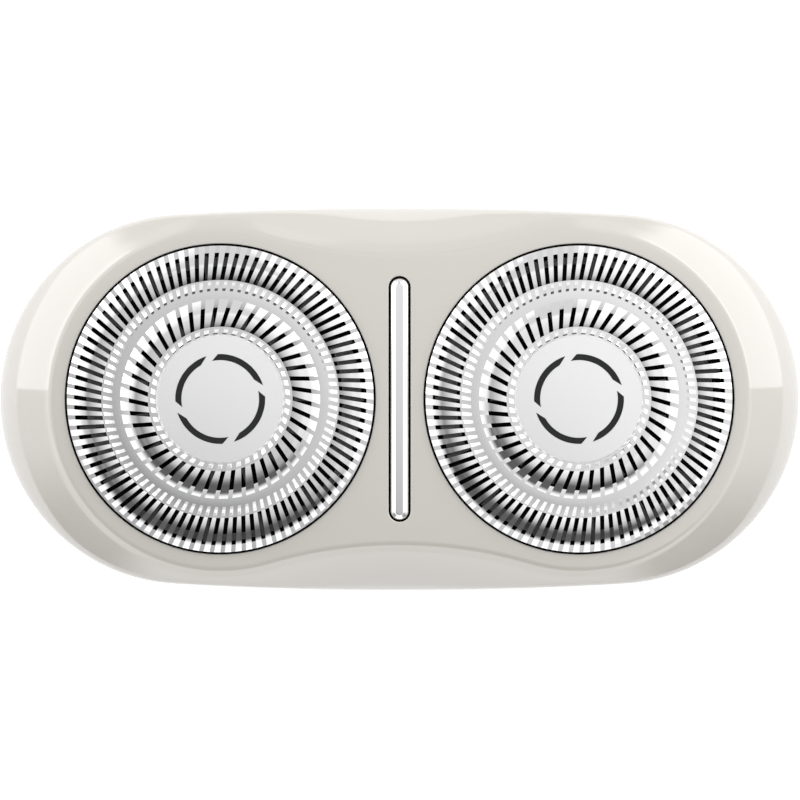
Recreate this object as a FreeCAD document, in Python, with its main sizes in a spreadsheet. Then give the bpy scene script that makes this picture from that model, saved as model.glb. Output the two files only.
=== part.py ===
import FreeCAD, Part
import math
import os
import Sketcher

# Rotary shaver head with two sprung comb discs, standing on its flat underside, millimetres.
# The shaving face looks up (+Z), the two discs lie along X, and z is 0 at the underside.

V = FreeCAD.Vector
doc = FreeCAD.newDocument("shaver_head")

SIZES = {
    # Plan of the head
    "disc_spacing": 4.1,
    "plateau_rim": 1.61,
    "waist_inset": 2.51,
    "end_run": 3.49,
    "side_run": 1.18,
    "side_bulge": 0.5,
    # Heights of the head
    "parting_height": 11.0,
    "cover_height": 9.2,
    "slope_drop": 4.0,
    "slope_curve": 6.5,
    "slope_margin": 0.5,
    # Cover
    "cover_wall": 1.3,
    "skirt_cavity": 3.8,
    "roof_thickness": 1.8,
    "seat_inset": 0.4,
    # Frame under the cover's roof
    "frame_fit": 0.15,
    "frame_height": 2.5,
    "frame_shelf": 0.8,
    "flange_side_gap": 0.2,
    "flange_rest_gap": 0.1,
    # Comb discs
    "comb_radius": 11.95,
    "comb_gap": 0.2,
    "comb_proud": 0.8,
    "comb_float": 0.8,
    "comb_wall": 0.53,
    "comb_crown": 0.5,
    "comb_web": 1.1,
    "track_relief": 0.55,
    "outer_track": 2.13,
    "track_web": 2.15,
    "inner_track": 1.49,
    "outer_shoulder_run": 0.84,
    "outer_shoulder_top": 0.2,
    "inner_shoulder_run": 0.66,
    "inner_shoulder_top": 0.46,
    "centre_shoulder_run": 0.59,
    "centre_shoulder_top": 0.3,
    "flange_width": 0.5,
    "flange_thickness": 0.5,
    "outer_slots": 90,
    "inner_slots": 45,
    "outer_slot_width": 0.33,
    "inner_slot_width": 0.33,
    "outer_slot_turn": -1.0,
    "inner_slot_turn": -0.4,
    "slot_lean": 1.64,
    "slot_end_gap": 0.08,
    # Comb caps
    "cap_thickness": 0.3,
    "cap_edge": 0.1,
    "cap_side_gap": 0.03,
    "stem_radius": 1.55,
    "stem_gap": 0.05,
    "pivot_radius": 0.9,
    "pivot_length": 0.8,
    "pivot_gap": 0.05,
    "mark_radius": 3.27,
    "mark_width": 0.49,
    "mark_depth": 0.1,
    "mark_outer_start": 17.5,
    "mark_outer_end": 93.0,
    "mark_inner_start": 30.0,
    "mark_inner_end": 102.5,
    "mark_count": 4,
    # Cutters
    "cutter_disc_gap": 0.6,
    "cutter_thickness": 0.3,
    "cutter_rim_gap": 0.3,
    "blade_count": 15,
    "blade_thickness": 0.32,
    "blade_side_gap": 0.1,
    "blade_top_gap": 0.03,
    "window_count": 5,
    "window_angle": 46.0,
    "window_rim": 0.2,
    "hub_flange_radius": 4.6,
    "hub_flange_thickness": 0.6,
    "hub_boss_radius": 2.4,
    "hub_boss_gap": 0.2,
    "hub_disc_gap": 0.05,
    "hub_collar_radius": 3.1,
    "hub_collar_length": 2.9,
    "socket_side": 3.0,
    "socket_depth": 2.5,
    # Retaining plate and its knob
    "plate_thickness": 1.2,
    "plate_window_outer": 10.4,
    "plate_window_inner": 5.0,
    "plate_window_angle": 92.0,
    "plate_spokes": 3,
    "hub_guide_gap": 0.4,
    "knob_stem_radius": 0.8,
    "knob_stem_gap": 0.15,
    "knob_stem_top_gap": 0.3,
    "knob_bore_depth": 2.2,
    "knob_play": 0.1,
    "knob_length": 6.0,
    "knob_width": 1.6,
    "knob_height": 1.4,
    "strike_post_radius": 2.4,
    "strike_post_height": 1.8,
    "strike_radius": 2.0,
    "strike_thickness": 0.5,
    "magnet_offset": 8.3,
    "magnet_radius": 1.75,
    "magnet_height": 1.5,
    "magnet_gap": 0.1,
    "magnet_post_wall": 0.7,
    "magnet_air_gap": 0.2,
    # Bright bar between the discs
    "bar_slot_width": 1.72,
    "bar_slot_length": 19.2,
    "bar_gap": 0.15,
    "bar_proud": 0.15,
    "bar_bevel_run": 0.44,
    "bar_bevel_drop": 0.2,
    "peg_radius": 0.5,
    "peg_length": 1.0,
    "peg_gap": 0.05,
    "peg_spacing": 12.0,
    # Base shell and bottom plate
    "foot_bevel": 0.6,
    "base_wall": 1.0,
    "ledge_width": 1.0,
    "ledge_height": 2.0,
    "lip_fit": 0.15,
    "lip_thickness": 1.0,
    "lip_height": 1.5,
    "floor_thickness": 1.2,
    "bottom_thickness": 1.5,
    "bottom_fit": 0.1,
    "neck_radius": 6.0,
    "neck_depth": 2.5,
    "neck_web": 0.8,
    "neck_wall": 1.6,
    "gasket_gap": 0.05,
    "screw_end_inset": 4.65,
    "screw_side_inset": 4.94,
    "screw_radius": 0.6,
    "screw_reach": 4.0,
    "screw_head_radius": 1.15,
    "screw_head_height": 0.7,
    "screw_head_gap": 0.1,
    "screw_boss_radius": 1.5,
    # Gear train
    "pinion_teeth": 16,
    "gear_teeth": 40,
    "gear_width": 2.5,
    "gear_gap": 0.3,
    "gear_roof_gap": 0.4,
    "tooth_backlash": 0.08,
    "tooth_root_ratio": 1.25,
    "pressure_angle": 20.0,
    "axle_radius": 0.75,
    "axle_gap": 0.05,
    "axle_collar_radius": 1.6,
    "axle_top_cover": 1.2,
    "gear_end_play": 0.1,
    "shaft_radius": 2.0,
    "seal_width": 0.55,
    "seal_gap": 0.05,
    "shaft_over_floor": 0.3,
    "post_side": 2.8,
    "post_height": 2.2,
    "bush_radius": 3.0,
    "bush_gap": 0.05,
    "pinion_hub_radius": 2.2,
    "hex_across": 2.4,
    "hex_depth": 2.8,
    "pin_radius": 0.8,
    "pin_length": 1.1,
    # Couplers and their springs
    "coupler_radius": 2.8,
    "coupler_foot_gap": 0.1,
    "coupler_length": 3.6,
    "coupler_roof": 0.5,
    "coupler_square_gap": 0.2,
    "tip_side": 2.4,
    "tip_clearance": 0.6,
    "tip_taper": 2.0,
    "spring_radius": 0.95,
    "spring_wire": 0.26,
    "spring_turns": 3,
    "spring_end_gap": 0.02,
}

sheet = doc.addObject("Spreadsheet::Sheet", "sizes")
for row, (alias, number) in enumerate(SIZES.items(), start=1):
    sheet.set(f"A{row}", alias)
    sheet.set(f"B{row}", str(number))
    sheet.setAlias(f"B{row}", alias)
doc.recompute()


class Size:
    """A number together with the spreadsheet formula that gives it."""

    def __init__(self, value, text):
        self.value = value
        self.text = text

    def __add__(self, other):
        other = as_size(other)
        return Size(self.value + other.value, f"({self.text} + {other.text})")

    def __sub__(self, other):
        other = as_size(other)
        return Size(self.value - other.value, f"({self.text} - {other.text})")

    def __mul__(self, other):
        other = as_size(other)
        return Size(self.value * other.value, f"({self.text} * {other.text})")

    def __truediv__(self, other):
        other = as_size(other)
        return Size(self.value / other.value, f"({self.text} / {other.text})")

    def __neg__(self):
        return Size(-self.value, f"(0 - {self.text})")


def as_size(number):
    return number if isinstance(number, Size) else Size(number, str(number))


def root(size):
    return Size(math.sqrt(size.value), f"sqrt({size.text})")


def arc_tangent(size):
    """Angle in degrees whose tangent is the given ratio."""
    return Size(math.degrees(math.atan(size.value)), f"(atan({size.text}) / 1 deg)")


def cosine(angle):
    return Size(math.cos(math.radians(angle.value)), f"cos({angle.text} * 1 deg)")


def sine(angle):
    return Size(math.sin(math.radians(angle.value)), f"sin({angle.text} * 1 deg)")


class SheetSizes:
    """Gives each spreadsheet cell as a Size by its alias."""

    def __getattr__(self, alias):
        return Size(float(sheet.get(alias)), f"sizes.{alias}")


s = SheetSizes()

# Plan dimensions that follow from the sheet
head_pitch = s.comb_radius * 2 + s.disc_spacing
half_pitch = head_pitch / 2
opening_radius = s.comb_radius + s.comb_gap
plateau_radius = opening_radius + s.plateau_rim
waist_half = plateau_radius - s.waist_inset
half_length = half_pitch + plateau_radius + s.end_run
half_width = plateau_radius + s.side_run
screw_x = half_length - s.screw_end_inset
screw_y = half_width - s.screw_side_inset
tip_radius = half_width - s.side_bulge
tip_x = half_length - tip_radius
side_radius = (tip_x * tip_x + half_width * half_width - tip_radius * tip_radius) / (
    s.side_bulge * 2
)
side_y = half_width - side_radius
waist_radius = (half_pitch * half_pitch + waist_half * waist_half - plateau_radius * plateau_radius) / (
    (plateau_radius - waist_half) * 2
)
waist_centre = waist_half + waist_radius

# Levels that follow from the sheet, upwards
plateau_height = s.parting_height + s.cover_height
neck_top = s.neck_depth + s.neck_web
gear_bottom = neck_top + s.gear_gap
gear_top = gear_bottom + s.gear_width
floor_bottom = gear_top + s.gear_roof_gap
floor_top = floor_bottom + s.floor_thickness
ceiling = plateau_height - s.roof_thickness
frame_bottom = ceiling - s.frame_height
shelf_bottom = ceiling - s.frame_shelf
comb_top = plateau_height + s.comb_proud
comb_floor = comb_top - s.track_relief
comb_ceiling = comb_top - s.comb_crown
web_bottom = comb_ceiling - s.comb_web
flange_top = shelf_bottom - s.flange_rest_gap
flange_bottom = flange_top - s.flange_thickness
disc_top = web_bottom - s.cutter_disc_gap
disc_bottom = disc_top - s.cutter_thickness
hub_top = web_bottom - s.hub_boss_gap
collar_top = disc_bottom - s.hub_flange_thickness
collar_bottom = collar_top - s.hub_collar_length
socket_top = collar_bottom + s.socket_depth
plate_bottom = frame_bottom - s.plate_thickness
strike_post_bottom = plate_bottom - s.strike_post_height
strike_bottom = strike_post_bottom - s.strike_thickness
magnet_top = strike_bottom - s.magnet_air_gap
shaft_top = floor_top + s.shaft_over_floor
post_top = shaft_top + s.post_height
coupler_bottom = shaft_top + s.comb_float + s.coupler_foot_gap
coupler_top = coupler_bottom + s.coupler_length
coupler_ceiling = coupler_top - s.coupler_roof
tip_top = socket_top - s.tip_clearance

# Radii of the comb's tracks, from the rim inwards
channel_outer = s.comb_radius - s.comb_wall
channel_outer_in = channel_outer - s.outer_track
channel_inner = channel_outer_in - s.track_web
channel_inner_in = channel_inner - s.inner_track
mid_ring_outer = channel_outer_in - s.outer_shoulder_run
mid_ring_inner = channel_inner + s.inner_shoulder_run
centre_radius = channel_inner_in - s.centre_shoulder_run
flange_radius = s.comb_radius + s.flange_width

# Insets of the outlines and of the waisted seat
seat_fit = s.seat_inset + s.frame_fit
lip_inset = s.cover_wall + s.lip_fit
chamber_inset = lip_inset + s.lip_thickness
plate_recess_inset = s.foot_bevel + s.base_wall
gear_room_inset = plate_recess_inset + s.ledge_width
bottom_inset = plate_recess_inset + s.bottom_fit

ORIGIN_POINT = (-1, 1)
X_AXIS = -1
Y_AXIS = -2
START = 1
END = 2
CENTRE = 3
FULL_TURN = 360
HALF_TURN = 180


def new_body(label):
    body = doc.addObject("PartDesign::Body", label)
    body.Label = label
    return body


def set_place(piece, x, half_turn=False):
    """Moves a piece to its disc's axis, turned half round where asked."""
    if half_turn:
        piece.Placement = FreeCAD.Placement(V(0, 0, 0), FreeCAD.Rotation(V(0, 0, 1), HALF_TURN))
    piece.setExpression("Placement.Base.x", x.text)


def origin_plane(body, role):
    return next(feature for feature in body.Origin.OriginFeatures if feature.Role == role)


class Drawing:
    """A constrained sketch on one of its own body's planes."""

    def __init__(self, body, name, plane="XY_Plane", height=None, shift=None):
        self.sketch = body.newObject("Sketcher::SketchObject", name)
        self.sketch.AttachmentSupport = [(origin_plane(body, plane), "")]
        self.sketch.MapMode = "FlatFace"
        for axis, size in (("z", height), ("x", shift)):
            if size is not None:
                self.sketch.setExpression(f"AttachmentOffset.Base.{axis}", size.text)

    def fix(self, kind, *where, size=None):
        """Adds a constraint, bound to a size where it has one."""
        if size is None:
            self.sketch.addConstraint(Sketcher.Constraint(kind, *where))
            return
        index = self.sketch.addConstraint(Sketcher.Constraint(kind, *where, size.value))
        self.sketch.setExpression(f"Constraints[{index}]", size.text)

    def place(self, geometry, point, x, y):
        """Ties a point to its coordinates, where 0 means on the axis."""
        if x == 0 and y == 0:
            self.fix("Coincident", geometry, point, *ORIGIN_POINT)
            return
        if x == 0:
            self.fix("PointOnObject", geometry, point, Y_AXIS)
        else:
            self.fix("DistanceX", geometry, point, size=x)
        if y == 0:
            self.fix("PointOnObject", geometry, point, X_AXIS)
        else:
            self.fix("DistanceY", geometry, point, size=y)

    def circle(self, radius, x=0, y=0):
        centre = V(as_size(x).value, as_size(y).value, 0)
        index = self.sketch.addGeometry(Part.Circle(centre, V(0, 0, 1), radius.value), False)
        self.place(index, CENTRE, x, y)
        self.fix("Radius", index, size=radius)
        return self

    def polygon(self, corners):
        spots = [V(as_size(x).value, as_size(y).value, 0) for x, y in corners]
        count = len(spots)
        lines = [Part.LineSegment(spots[i], spots[(i + 1) % count]) for i in range(count)]
        first = self.sketch.addGeometry(lines, False)[0]
        for i, (x, y) in enumerate(corners):
            self.fix("Coincident", first + i, END, first + (i + 1) % count, START)
            self.place(first + i, START, x, y)
        return self

    def rectangle(self, width, depth):
        x = width / 2
        y = depth / 2
        return self.polygon([(x, y), (-x, y), (-x, -y), (x, -y)])

    def arc_chain(self, arcs):
        """A closed chain of tangent arcs, each given by centre, radius and two angles in radians."""
        shapes = [
            Part.ArcOfCircle(Part.Circle(V(cx, cy, 0), V(0, 0, 1), radius), start, end)
            for cx, cy, radius, start, end in arcs
        ]
        return self.sketch.addGeometry(shapes, False)[0]

    def outline(self, inset=None):
        """The head's rounded outline: an arc at each tip and a flat arc along each side."""
        inset = as_size(0) if inset is None else inset
        tip_r, tx, sy = (size.value for size in (tip_radius - inset, tip_x, side_y))
        side_r = side_radius.value - inset.value
        turn = math.atan2(-sy, tx)
        pi = math.pi
        first = self.arc_chain([
            (tx, 0, tip_r, -turn, turn),
            (0, sy, side_r, turn, pi - turn),
            (-tx, 0, tip_r, pi - turn, pi + turn),
            (0, -sy, side_r, pi + turn, 2 * pi - turn),
        ])
        for i in range(4):
            self.fix("Tangent", first + i, END, first + (i + 1) % 4, START)
        for i, x in ((0, tip_x), (2, -tip_x)):
            self.place(first + i, CENTRE, x, 0)
            self.fix("Radius", first + i, size=tip_radius - inset)
        for i, y in ((1, side_y), (3, -side_y)):
            self.fix("DistanceY", first + i, CENTRE, size=y)
        return self

    def waisted(self, inset):
        """Two rounds about the discs' axes, joined by hollow arcs at the waist."""
        disc = plateau_radius - inset
        hollow = waist_radius + inset
        meet = math.atan2(waist_centre.value, half_pitch.value)
        px, hy = half_pitch.value, waist_centre.value
        pi = math.pi
        first = self.arc_chain([
            (px, 0, disc.value, meet - pi, pi - meet),
            (0, hy, hollow.value, pi + meet, 2 * pi - meet),
            (-px, 0, disc.value, meet, 2 * pi - meet),
            (0, -hy, hollow.value, meet, pi - meet),
        ])
        for end_a, end_b in (((0, END), (1, END)), ((1, START), (2, START)),
                             ((2, END), (3, END)), ((3, START), (0, START))):
            self.fix("Tangent", first + end_a[0], end_a[1], first + end_b[0], end_b[1])
        for i, x in ((0, half_pitch), (2, -half_pitch)):
            self.place(first + i, CENTRE, x, 0)
            self.fix("Radius", first + i, size=disc)
        for i, y in ((1, waist_centre), (3, -waist_centre)):
            self.fix("DistanceY", first + i, CENTRE, size=y)
        return self

    def rounded_bar(self, length, width):
        """A bar along Y with half-round ends."""
        radius = width / 2
        reach = (length - width) / 2
        r, y = radius.value, reach.value
        pi = math.pi
        first = self.sketch.addGeometry([
            Part.ArcOfCircle(Part.Circle(V(0, y, 0), V(0, 0, 1), r), 0, pi),
            Part.LineSegment(V(-r, y, 0), V(-r, -y, 0)),
            Part.ArcOfCircle(Part.Circle(V(0, -y, 0), V(0, 0, 1), r), pi, 2 * pi),
            Part.LineSegment(V(r, -y, 0), V(r, y, 0)),
        ], False)[0]
        for i in range(4):
            self.fix("Tangent", first + i, END, first + (i + 1) % 4, START)
        self.place(first, CENTRE, 0, reach)
        self.place(first + 2, CENTRE, 0, -reach)
        self.fix("Radius", first, size=radius)
        return self

    def ring_sector(self, inner, outer, inner_start, inner_end, outer_start, outer_end):
        """Part of a ring about the origin, whose ends may slant, with angles in degrees."""
        corners = [
            (radius * cosine(angle), radius * sine(angle))
            for radius, angle in (
                (outer, outer_start), (outer, outer_end), (inner, inner_end), (inner, inner_start)
            )
        ]
        spots = [V(x.value, y.value, 0) for x, y in corners]
        turns = [math.radians(angle.value) for angle in (outer_start, outer_end, inner_start, inner_end)]
        first = self.sketch.addGeometry([
            Part.ArcOfCircle(Part.Circle(V(0, 0, 0), V(0, 0, 1), outer.value), turns[0], turns[1]),
            Part.LineSegment(spots[1], spots[2]),
            Part.ArcOfCircle(Part.Circle(V(0, 0, 0), V(0, 0, 1), inner.value), turns[2], turns[3]),
            Part.LineSegment(spots[3], spots[0]),
        ], False)[0]
        self.fix("Coincident", first, END, first + 1, START)
        self.fix("Coincident", first + 1, END, first + 2, END)
        self.fix("Coincident", first + 2, START, first + 3, START)
        self.fix("Coincident", first + 3, END, first, START)
        for i, radius in ((0, outer), (2, inner)):
            self.place(first + i, CENTRE, 0, 0)
            self.fix("Radius", first + i, size=radius)
        self.pin_end(first, START, corners[0])
        self.pin_end(first, END, corners[1])
        self.pin_end(first + 2, END, corners[2])
        self.pin_end(first + 2, START, corners[3])
        return self

    def pin_end(self, geometry, point, corner):
        """Fixes the coordinate of an arc's end that changes most along the arc."""
        x, y = corner
        if abs(x.value) > abs(y.value):
            self.fix("DistanceY", geometry, point, size=y)
        else:
            self.fix("DistanceX", geometry, point, size=x)


def pad(body, name, drawing, length, down=False, taper=None):
    feature = body.newObject("PartDesign::Pad", name)
    feature.Profile = drawing.sketch
    feature.Length = length.value
    feature.setExpression("Length", length.text)
    feature.Reversed = down
    if taper is not None:
        feature.TaperAngle = taper.value
        feature.setExpression("TaperAngle", taper.text)
    return feature


def pocket(body, name, drawing, depth, up=False):
    feature = body.newObject("PartDesign::Pocket", name)
    feature.Profile = drawing.sketch
    feature.Length = depth.value
    feature.setExpression("Length", depth.text)
    feature.Reversed = up
    return feature


def revolve(body, name, corners):
    """A turned solid from a half section of (radius, height) corners."""
    drawing = Drawing(body, name + "_section", "XZ_Plane").polygon(corners)
    feature = body.newObject("PartDesign::Revolution", name)
    feature.Profile = drawing.sketch
    feature.ReferenceAxis = (drawing.sketch, ["V_Axis"])
    feature.Angle = FULL_TURN
    return feature


def polar(body, name, features, drawing, count):
    feature = body.newObject("PartDesign::PolarPattern", name)
    feature.Originals = features
    feature.Axis = (drawing.sketch, ["N_Axis"])
    feature.Angle = FULL_TURN
    feature.Occurrences = int(count.value)
    feature.setExpression("Occurrences", count.text)
    body.Tip = feature
    return feature


def mirror(body, name, feature, role):
    copy = body.newObject("PartDesign::Mirrored", name)
    copy.Originals = [feature]
    copy.MirrorPlane = (origin_plane(body, role), [""])
    body.Tip = copy
    return copy


def cylinder(name, radius, height, bottom, x=None, y=None):
    """An upright round bar as a primitive."""
    bar = doc.addObject("Part::Cylinder", name)
    bar.setExpression("Radius", radius.text)
    bar.setExpression("Height", height.text)
    bar.setExpression("Placement.Base.z", bottom.text)
    if x is not None:
        bar.setExpression("Placement.Base.x", x.text)
    if y is not None:
        bar.setExpression("Placement.Base.y", y.text)
    return bar


def square_bar(name, side, height, bottom):
    """An upright square bar about the Z axis as a primitive."""
    bar = doc.addObject("Part::Box", name)
    bar.setExpression("Length", side.text)
    bar.setExpression("Width", side.text)
    bar.setExpression("Height", height.text)
    bar.setExpression("Placement.Base.x", (-side / 2).text)
    bar.setExpression("Placement.Base.y", (-side / 2).text)
    bar.setExpression("Placement.Base.z", bottom.text)
    return bar


def fuse(name, pieces):
    joined = doc.addObject("Part::MultiFuse", name)
    joined.Shapes = pieces
    return joined


def cut(name, base, tool):
    result = doc.addObject("Part::Cut", name)
    result.Base = base
    result.Tool = tool
    return result


sub_parts = []


def hand_over(piece, label):
    piece.Label = label
    sub_parts.append(piece)
    return piece


# Slope between the flat shaving face and the head's sides
slope_reach = s.end_run + s.slope_margin


def slope_section(drawing, crease):
    """Region above the domed slope, which falls from the crease away from the face."""
    reach = crease + slope_reach
    low = plateau_height - s.slope_drop
    high = plateau_height + s.slope_margin
    start = V(crease.value, plateau_height.value, 0)
    foot = V(reach.value, low.value, 0)
    chord = foot - start
    depth = math.sqrt(s.slope_curve.value ** 2 - chord.Length ** 2 / 4)
    centre = (start + foot) / 2 + V(chord.y, -chord.x, 0) * (depth / chord.Length)
    start_turn, foot_turn = (math.atan2(spot.y - centre.y, spot.x - centre.x) for spot in (start, foot))
    first = drawing.sketch.addGeometry([
        Part.ArcOfCircle(Part.Circle(centre, V(0, 0, 1), s.slope_curve.value), foot_turn, start_turn),
        Part.LineSegment(foot, V(foot.x, high.value, 0)),
        Part.LineSegment(V(foot.x, high.value, 0), V(start.x, high.value, 0)),
        Part.LineSegment(V(start.x, high.value, 0), start),
    ], False)[0]
    drawing.fix("Coincident", first, START, first + 1, START)
    drawing.fix("Coincident", first + 1, END, first + 2, START)
    drawing.fix("Coincident", first + 2, END, first + 3, START)
    drawing.fix("Coincident", first + 3, END, first, END)
    drawing.fix("Radius", first, size=s.slope_curve)
    drawing.place(first + 1, START, reach, low)
    drawing.place(first + 2, START, reach, high)
    drawing.place(first + 3, START, crease, high)
    drawing.fix("DistanceY", first + 3, END, size=plateau_height)
    drawing.fix("Vertical", first + 3)


def slope_groove(body, name, plane, crease, axis_at, angle):
    """Cuts the slope round an upright axis, equally to both sides of the sketch."""
    drawing = Drawing(body, name + "_section", plane)
    slope_section(drawing, crease)
    axis = drawing.sketch.addGeometry(
        Part.LineSegment(V(axis_at.value, 0, 0), V(axis_at.value, s.parting_height.value, 0)), True
    )
    drawing.place(axis, START, axis_at, 0)
    drawing.place(axis, END, axis_at, s.parting_height)
    feature = body.newObject("PartDesign::Groove", name)
    feature.Profile = drawing.sketch
    feature.ReferenceAxis = (drawing.sketch, ["Axis0"])
    feature.Midplane = True
    feature.setExpression("Angle", angle.text)
    feature.Angle = angle.value
    return feature


def make_head_cover():
    body = new_body("head_cover")
    shell = Drawing(body, "cover_outline", height=s.parting_height).outline()
    pad(body, "cover_block", shell, s.cover_height)
    meet = arc_tangent(waist_centre / half_pitch)
    end = slope_groove(body, "end_slope", "XZ_Plane", half_pitch + plateau_radius, half_pitch,
                       as_size(FULL_TURN) - meet * 2)
    mirror(body, "end_slope_left", end, "YZ_Plane")
    waist = slope_groove(body, "waist_slope", "YZ_Plane", waist_half, waist_centre,
                         as_size(HALF_TURN) - meet * 2)
    mirror(body, "waist_slope_front", waist, "XZ_Plane")
    cavity = Drawing(body, "cavity_outline", height=s.parting_height).outline(s.cover_wall)
    pocket(body, "cavity", cavity, s.skirt_cavity, up=True)
    seat = Drawing(body, "seat_outline", height=s.parting_height).waisted(s.seat_inset)
    pocket(body, "seat", seat, ceiling - s.parting_height, up=True)
    openings = Drawing(body, "opening_circles", height=plateau_height)
    openings.circle(opening_radius, half_pitch, 0)
    openings.circle(opening_radius, -half_pitch, 0)
    pocket(body, "openings", openings, s.roof_thickness)
    slot = Drawing(body, "bar_slot_outline", height=plateau_height)
    slot.rounded_bar(s.bar_slot_length, s.bar_slot_width)
    pocket(body, "bar_slot", slot, s.roof_thickness)
    return hand_over(body, "head_cover")


def make_inner_frame():
    body = new_body("inner_frame")
    plan = Drawing(body, "frame_outline", height=frame_bottom).waisted(seat_fit)
    pad(body, "frame_block", plan, s.frame_height)
    shelves = Drawing(body, "shelf_circles", height=frame_bottom)
    pockets = Drawing(body, "flange_circles", height=frame_bottom)
    for x in (half_pitch, -half_pitch):
        shelves.circle(opening_radius, x, 0)
        pockets.circle(flange_radius + s.flange_side_gap, x, 0)
    pocket(body, "shelf_bores", shelves, s.frame_height, up=True)
    pocket(body, "flange_bores", pockets, shelf_bottom - frame_bottom, up=True)
    knob_bore = Drawing(body, "knob_bore_circle", height=frame_bottom)
    knob_bore.circle(s.knob_stem_radius + s.knob_stem_gap)
    pocket(body, "knob_bore", knob_bore, s.knob_bore_depth - s.plate_thickness, up=True)
    pegs = Drawing(body, "peg_hole_circles", height=ceiling)
    for y in (s.peg_spacing / 2, -s.peg_spacing / 2):
        pegs.circle(s.peg_radius + s.peg_gap, 0, y)
    pocket(body, "peg_holes", pegs, s.peg_length + s.peg_gap)
    return hand_over(body, "inner_frame")


def make_trim_bar():
    body = new_body("trim_bar")
    bar_width = s.bar_slot_width - s.bar_gap * 2
    bar_length = s.bar_slot_length - s.bar_gap * 2
    plan = Drawing(body, "bar_outline", height=ceiling).rounded_bar(bar_length, bar_width)
    block = pad(body, "bar_block", plan, s.roof_thickness + s.bar_proud)
    doc.recompute()
    faces = block.Shape.Faces
    top = max(range(len(faces)), key=lambda i: faces[i].CenterOfMass.z)
    bevel = body.newObject("PartDesign::Chamfer", "bar_bevel_edge")
    bevel.Base = (block, [f"Face{top + 1}"])
    bevel.ChamferType = "Two distances"
    bevel.setExpression("Size", s.bar_bevel_drop.text)
    bevel.setExpression("Size2", s.bar_bevel_run.text)
    pegs = Drawing(body, "peg_circles", height=ceiling)
    for y in (s.peg_spacing / 2, -s.peg_spacing / 2):
        pegs.circle(s.peg_radius, 0, y)
    pad(body, "pegs", pegs, s.peg_length, down=True)
    return hand_over(body, "trim_bar")


def make_retaining_plate():
    body = new_body("retaining_plate")
    plan = Drawing(body, "plate_outline", height=plate_bottom).waisted(seat_fit)
    pad(body, "plate_sheet", plan, s.plate_thickness)
    guides = Drawing(body, "guide_circles", height=plate_bottom)
    for x in (half_pitch, -half_pitch):
        guides.circle(s.hub_collar_radius + s.hub_guide_gap, x, 0)
    guides.circle(s.knob_stem_radius + s.knob_stem_gap)
    pocket(body, "guide_holes", guides, s.plate_thickness, up=True)
    half_window = s.plate_window_angle / 2
    for side, x in (("right", half_pitch), ("left", -half_pitch)):
        window = Drawing(body, f"window_{side}_outline", height=plate_bottom, shift=x)
        window.ring_sector(s.plate_window_inner, s.plate_window_outer,
                           -half_window, half_window, -half_window, half_window)
        opening = pocket(body, f"window_{side}", window, s.plate_thickness, up=True)
        polar(body, f"windows_{side}", [opening], window, s.plate_spokes)
    posts = Drawing(body, "strike_post_circles", height=plate_bottom)
    for y in (s.magnet_offset, -s.magnet_offset):
        posts.circle(s.strike_post_radius, 0, y)
    pad(body, "strike_posts", posts, s.strike_post_height, down=True)
    return hand_over(body, "retaining_plate")


def make_retainer_knob():
    body = new_body("retainer_knob")
    wing_top = plate_bottom - s.knob_play
    stem = Drawing(body, "stem_circle", height=wing_top).circle(s.knob_stem_radius)
    stem_top = plate_bottom + s.knob_bore_depth - s.knob_stem_top_gap
    pad(body, "stem", stem, stem_top - wing_top)
    wing = Drawing(body, "wing_outline", height=wing_top).rounded_bar(s.knob_length, s.knob_width)
    pad(body, "wing", wing, s.knob_height, down=True)
    return hand_over(body, "retainer_knob")


def slot_window(body, name, inner, outer, width, turn, count):
    """Slots that lean off the radius, tangent to one small circle about the axis."""
    near = root(inner * inner - s.slot_lean * s.slot_lean)
    far = root(outer * outer - s.slot_lean * s.slot_lean)
    low = s.slot_lean - width / 2
    high = s.slot_lean + width / 2
    across = cosine(turn)
    along = sine(turn)
    corners = [
        (x * across - y * along, x * along + y * across)
        for x, y in ((near, low), (far, low), (far, high), (near, high))
    ]
    drawing = Drawing(body, name + "_outline", height=comb_top).polygon(corners)
    slot = pocket(body, name, drawing, s.track_relief + s.comb_crown)
    return polar(body, name + "_ring", [slot], drawing, count)


def make_comb(side, x):
    body = new_body(f"{side}_comb")
    stem_bore = s.stem_radius + s.stem_gap
    revolve(body, "comb_ring", [
        (flange_radius, flange_bottom),
        (flange_radius, flange_top),
        (s.comb_radius, flange_top),
        (s.comb_radius, comb_floor),
        (channel_outer, comb_top),
        (channel_outer_in - s.outer_shoulder_top, comb_top),
        (mid_ring_outer, comb_floor),
        (mid_ring_inner, comb_floor),
        (channel_inner + s.inner_shoulder_top, comb_top),
        (channel_inner_in - s.centre_shoulder_top, comb_top),
        (centre_radius, comb_floor),
        (stem_bore, comb_floor),
        (stem_bore, web_bottom),
        (channel_inner_in, web_bottom),
        (channel_inner_in, comb_ceiling),
        (channel_inner, comb_ceiling),
        (channel_inner, web_bottom),
        (channel_outer_in, web_bottom),
        (channel_outer_in, comb_ceiling),
        (channel_outer, comb_ceiling),
        (channel_outer, flange_bottom),
    ])
    slot_window(body, "outer_slot", channel_outer_in + s.slot_end_gap, channel_outer - s.slot_end_gap,
                s.outer_slot_width, s.outer_slot_turn, s.outer_slots)
    slot_window(body, "inner_slot", channel_inner_in + s.slot_end_gap, channel_inner - s.slot_end_gap,
                s.inner_slot_width, s.inner_slot_turn, s.inner_slots)
    set_place(body, x)
    return hand_over(body, f"{side}_comb")


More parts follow.
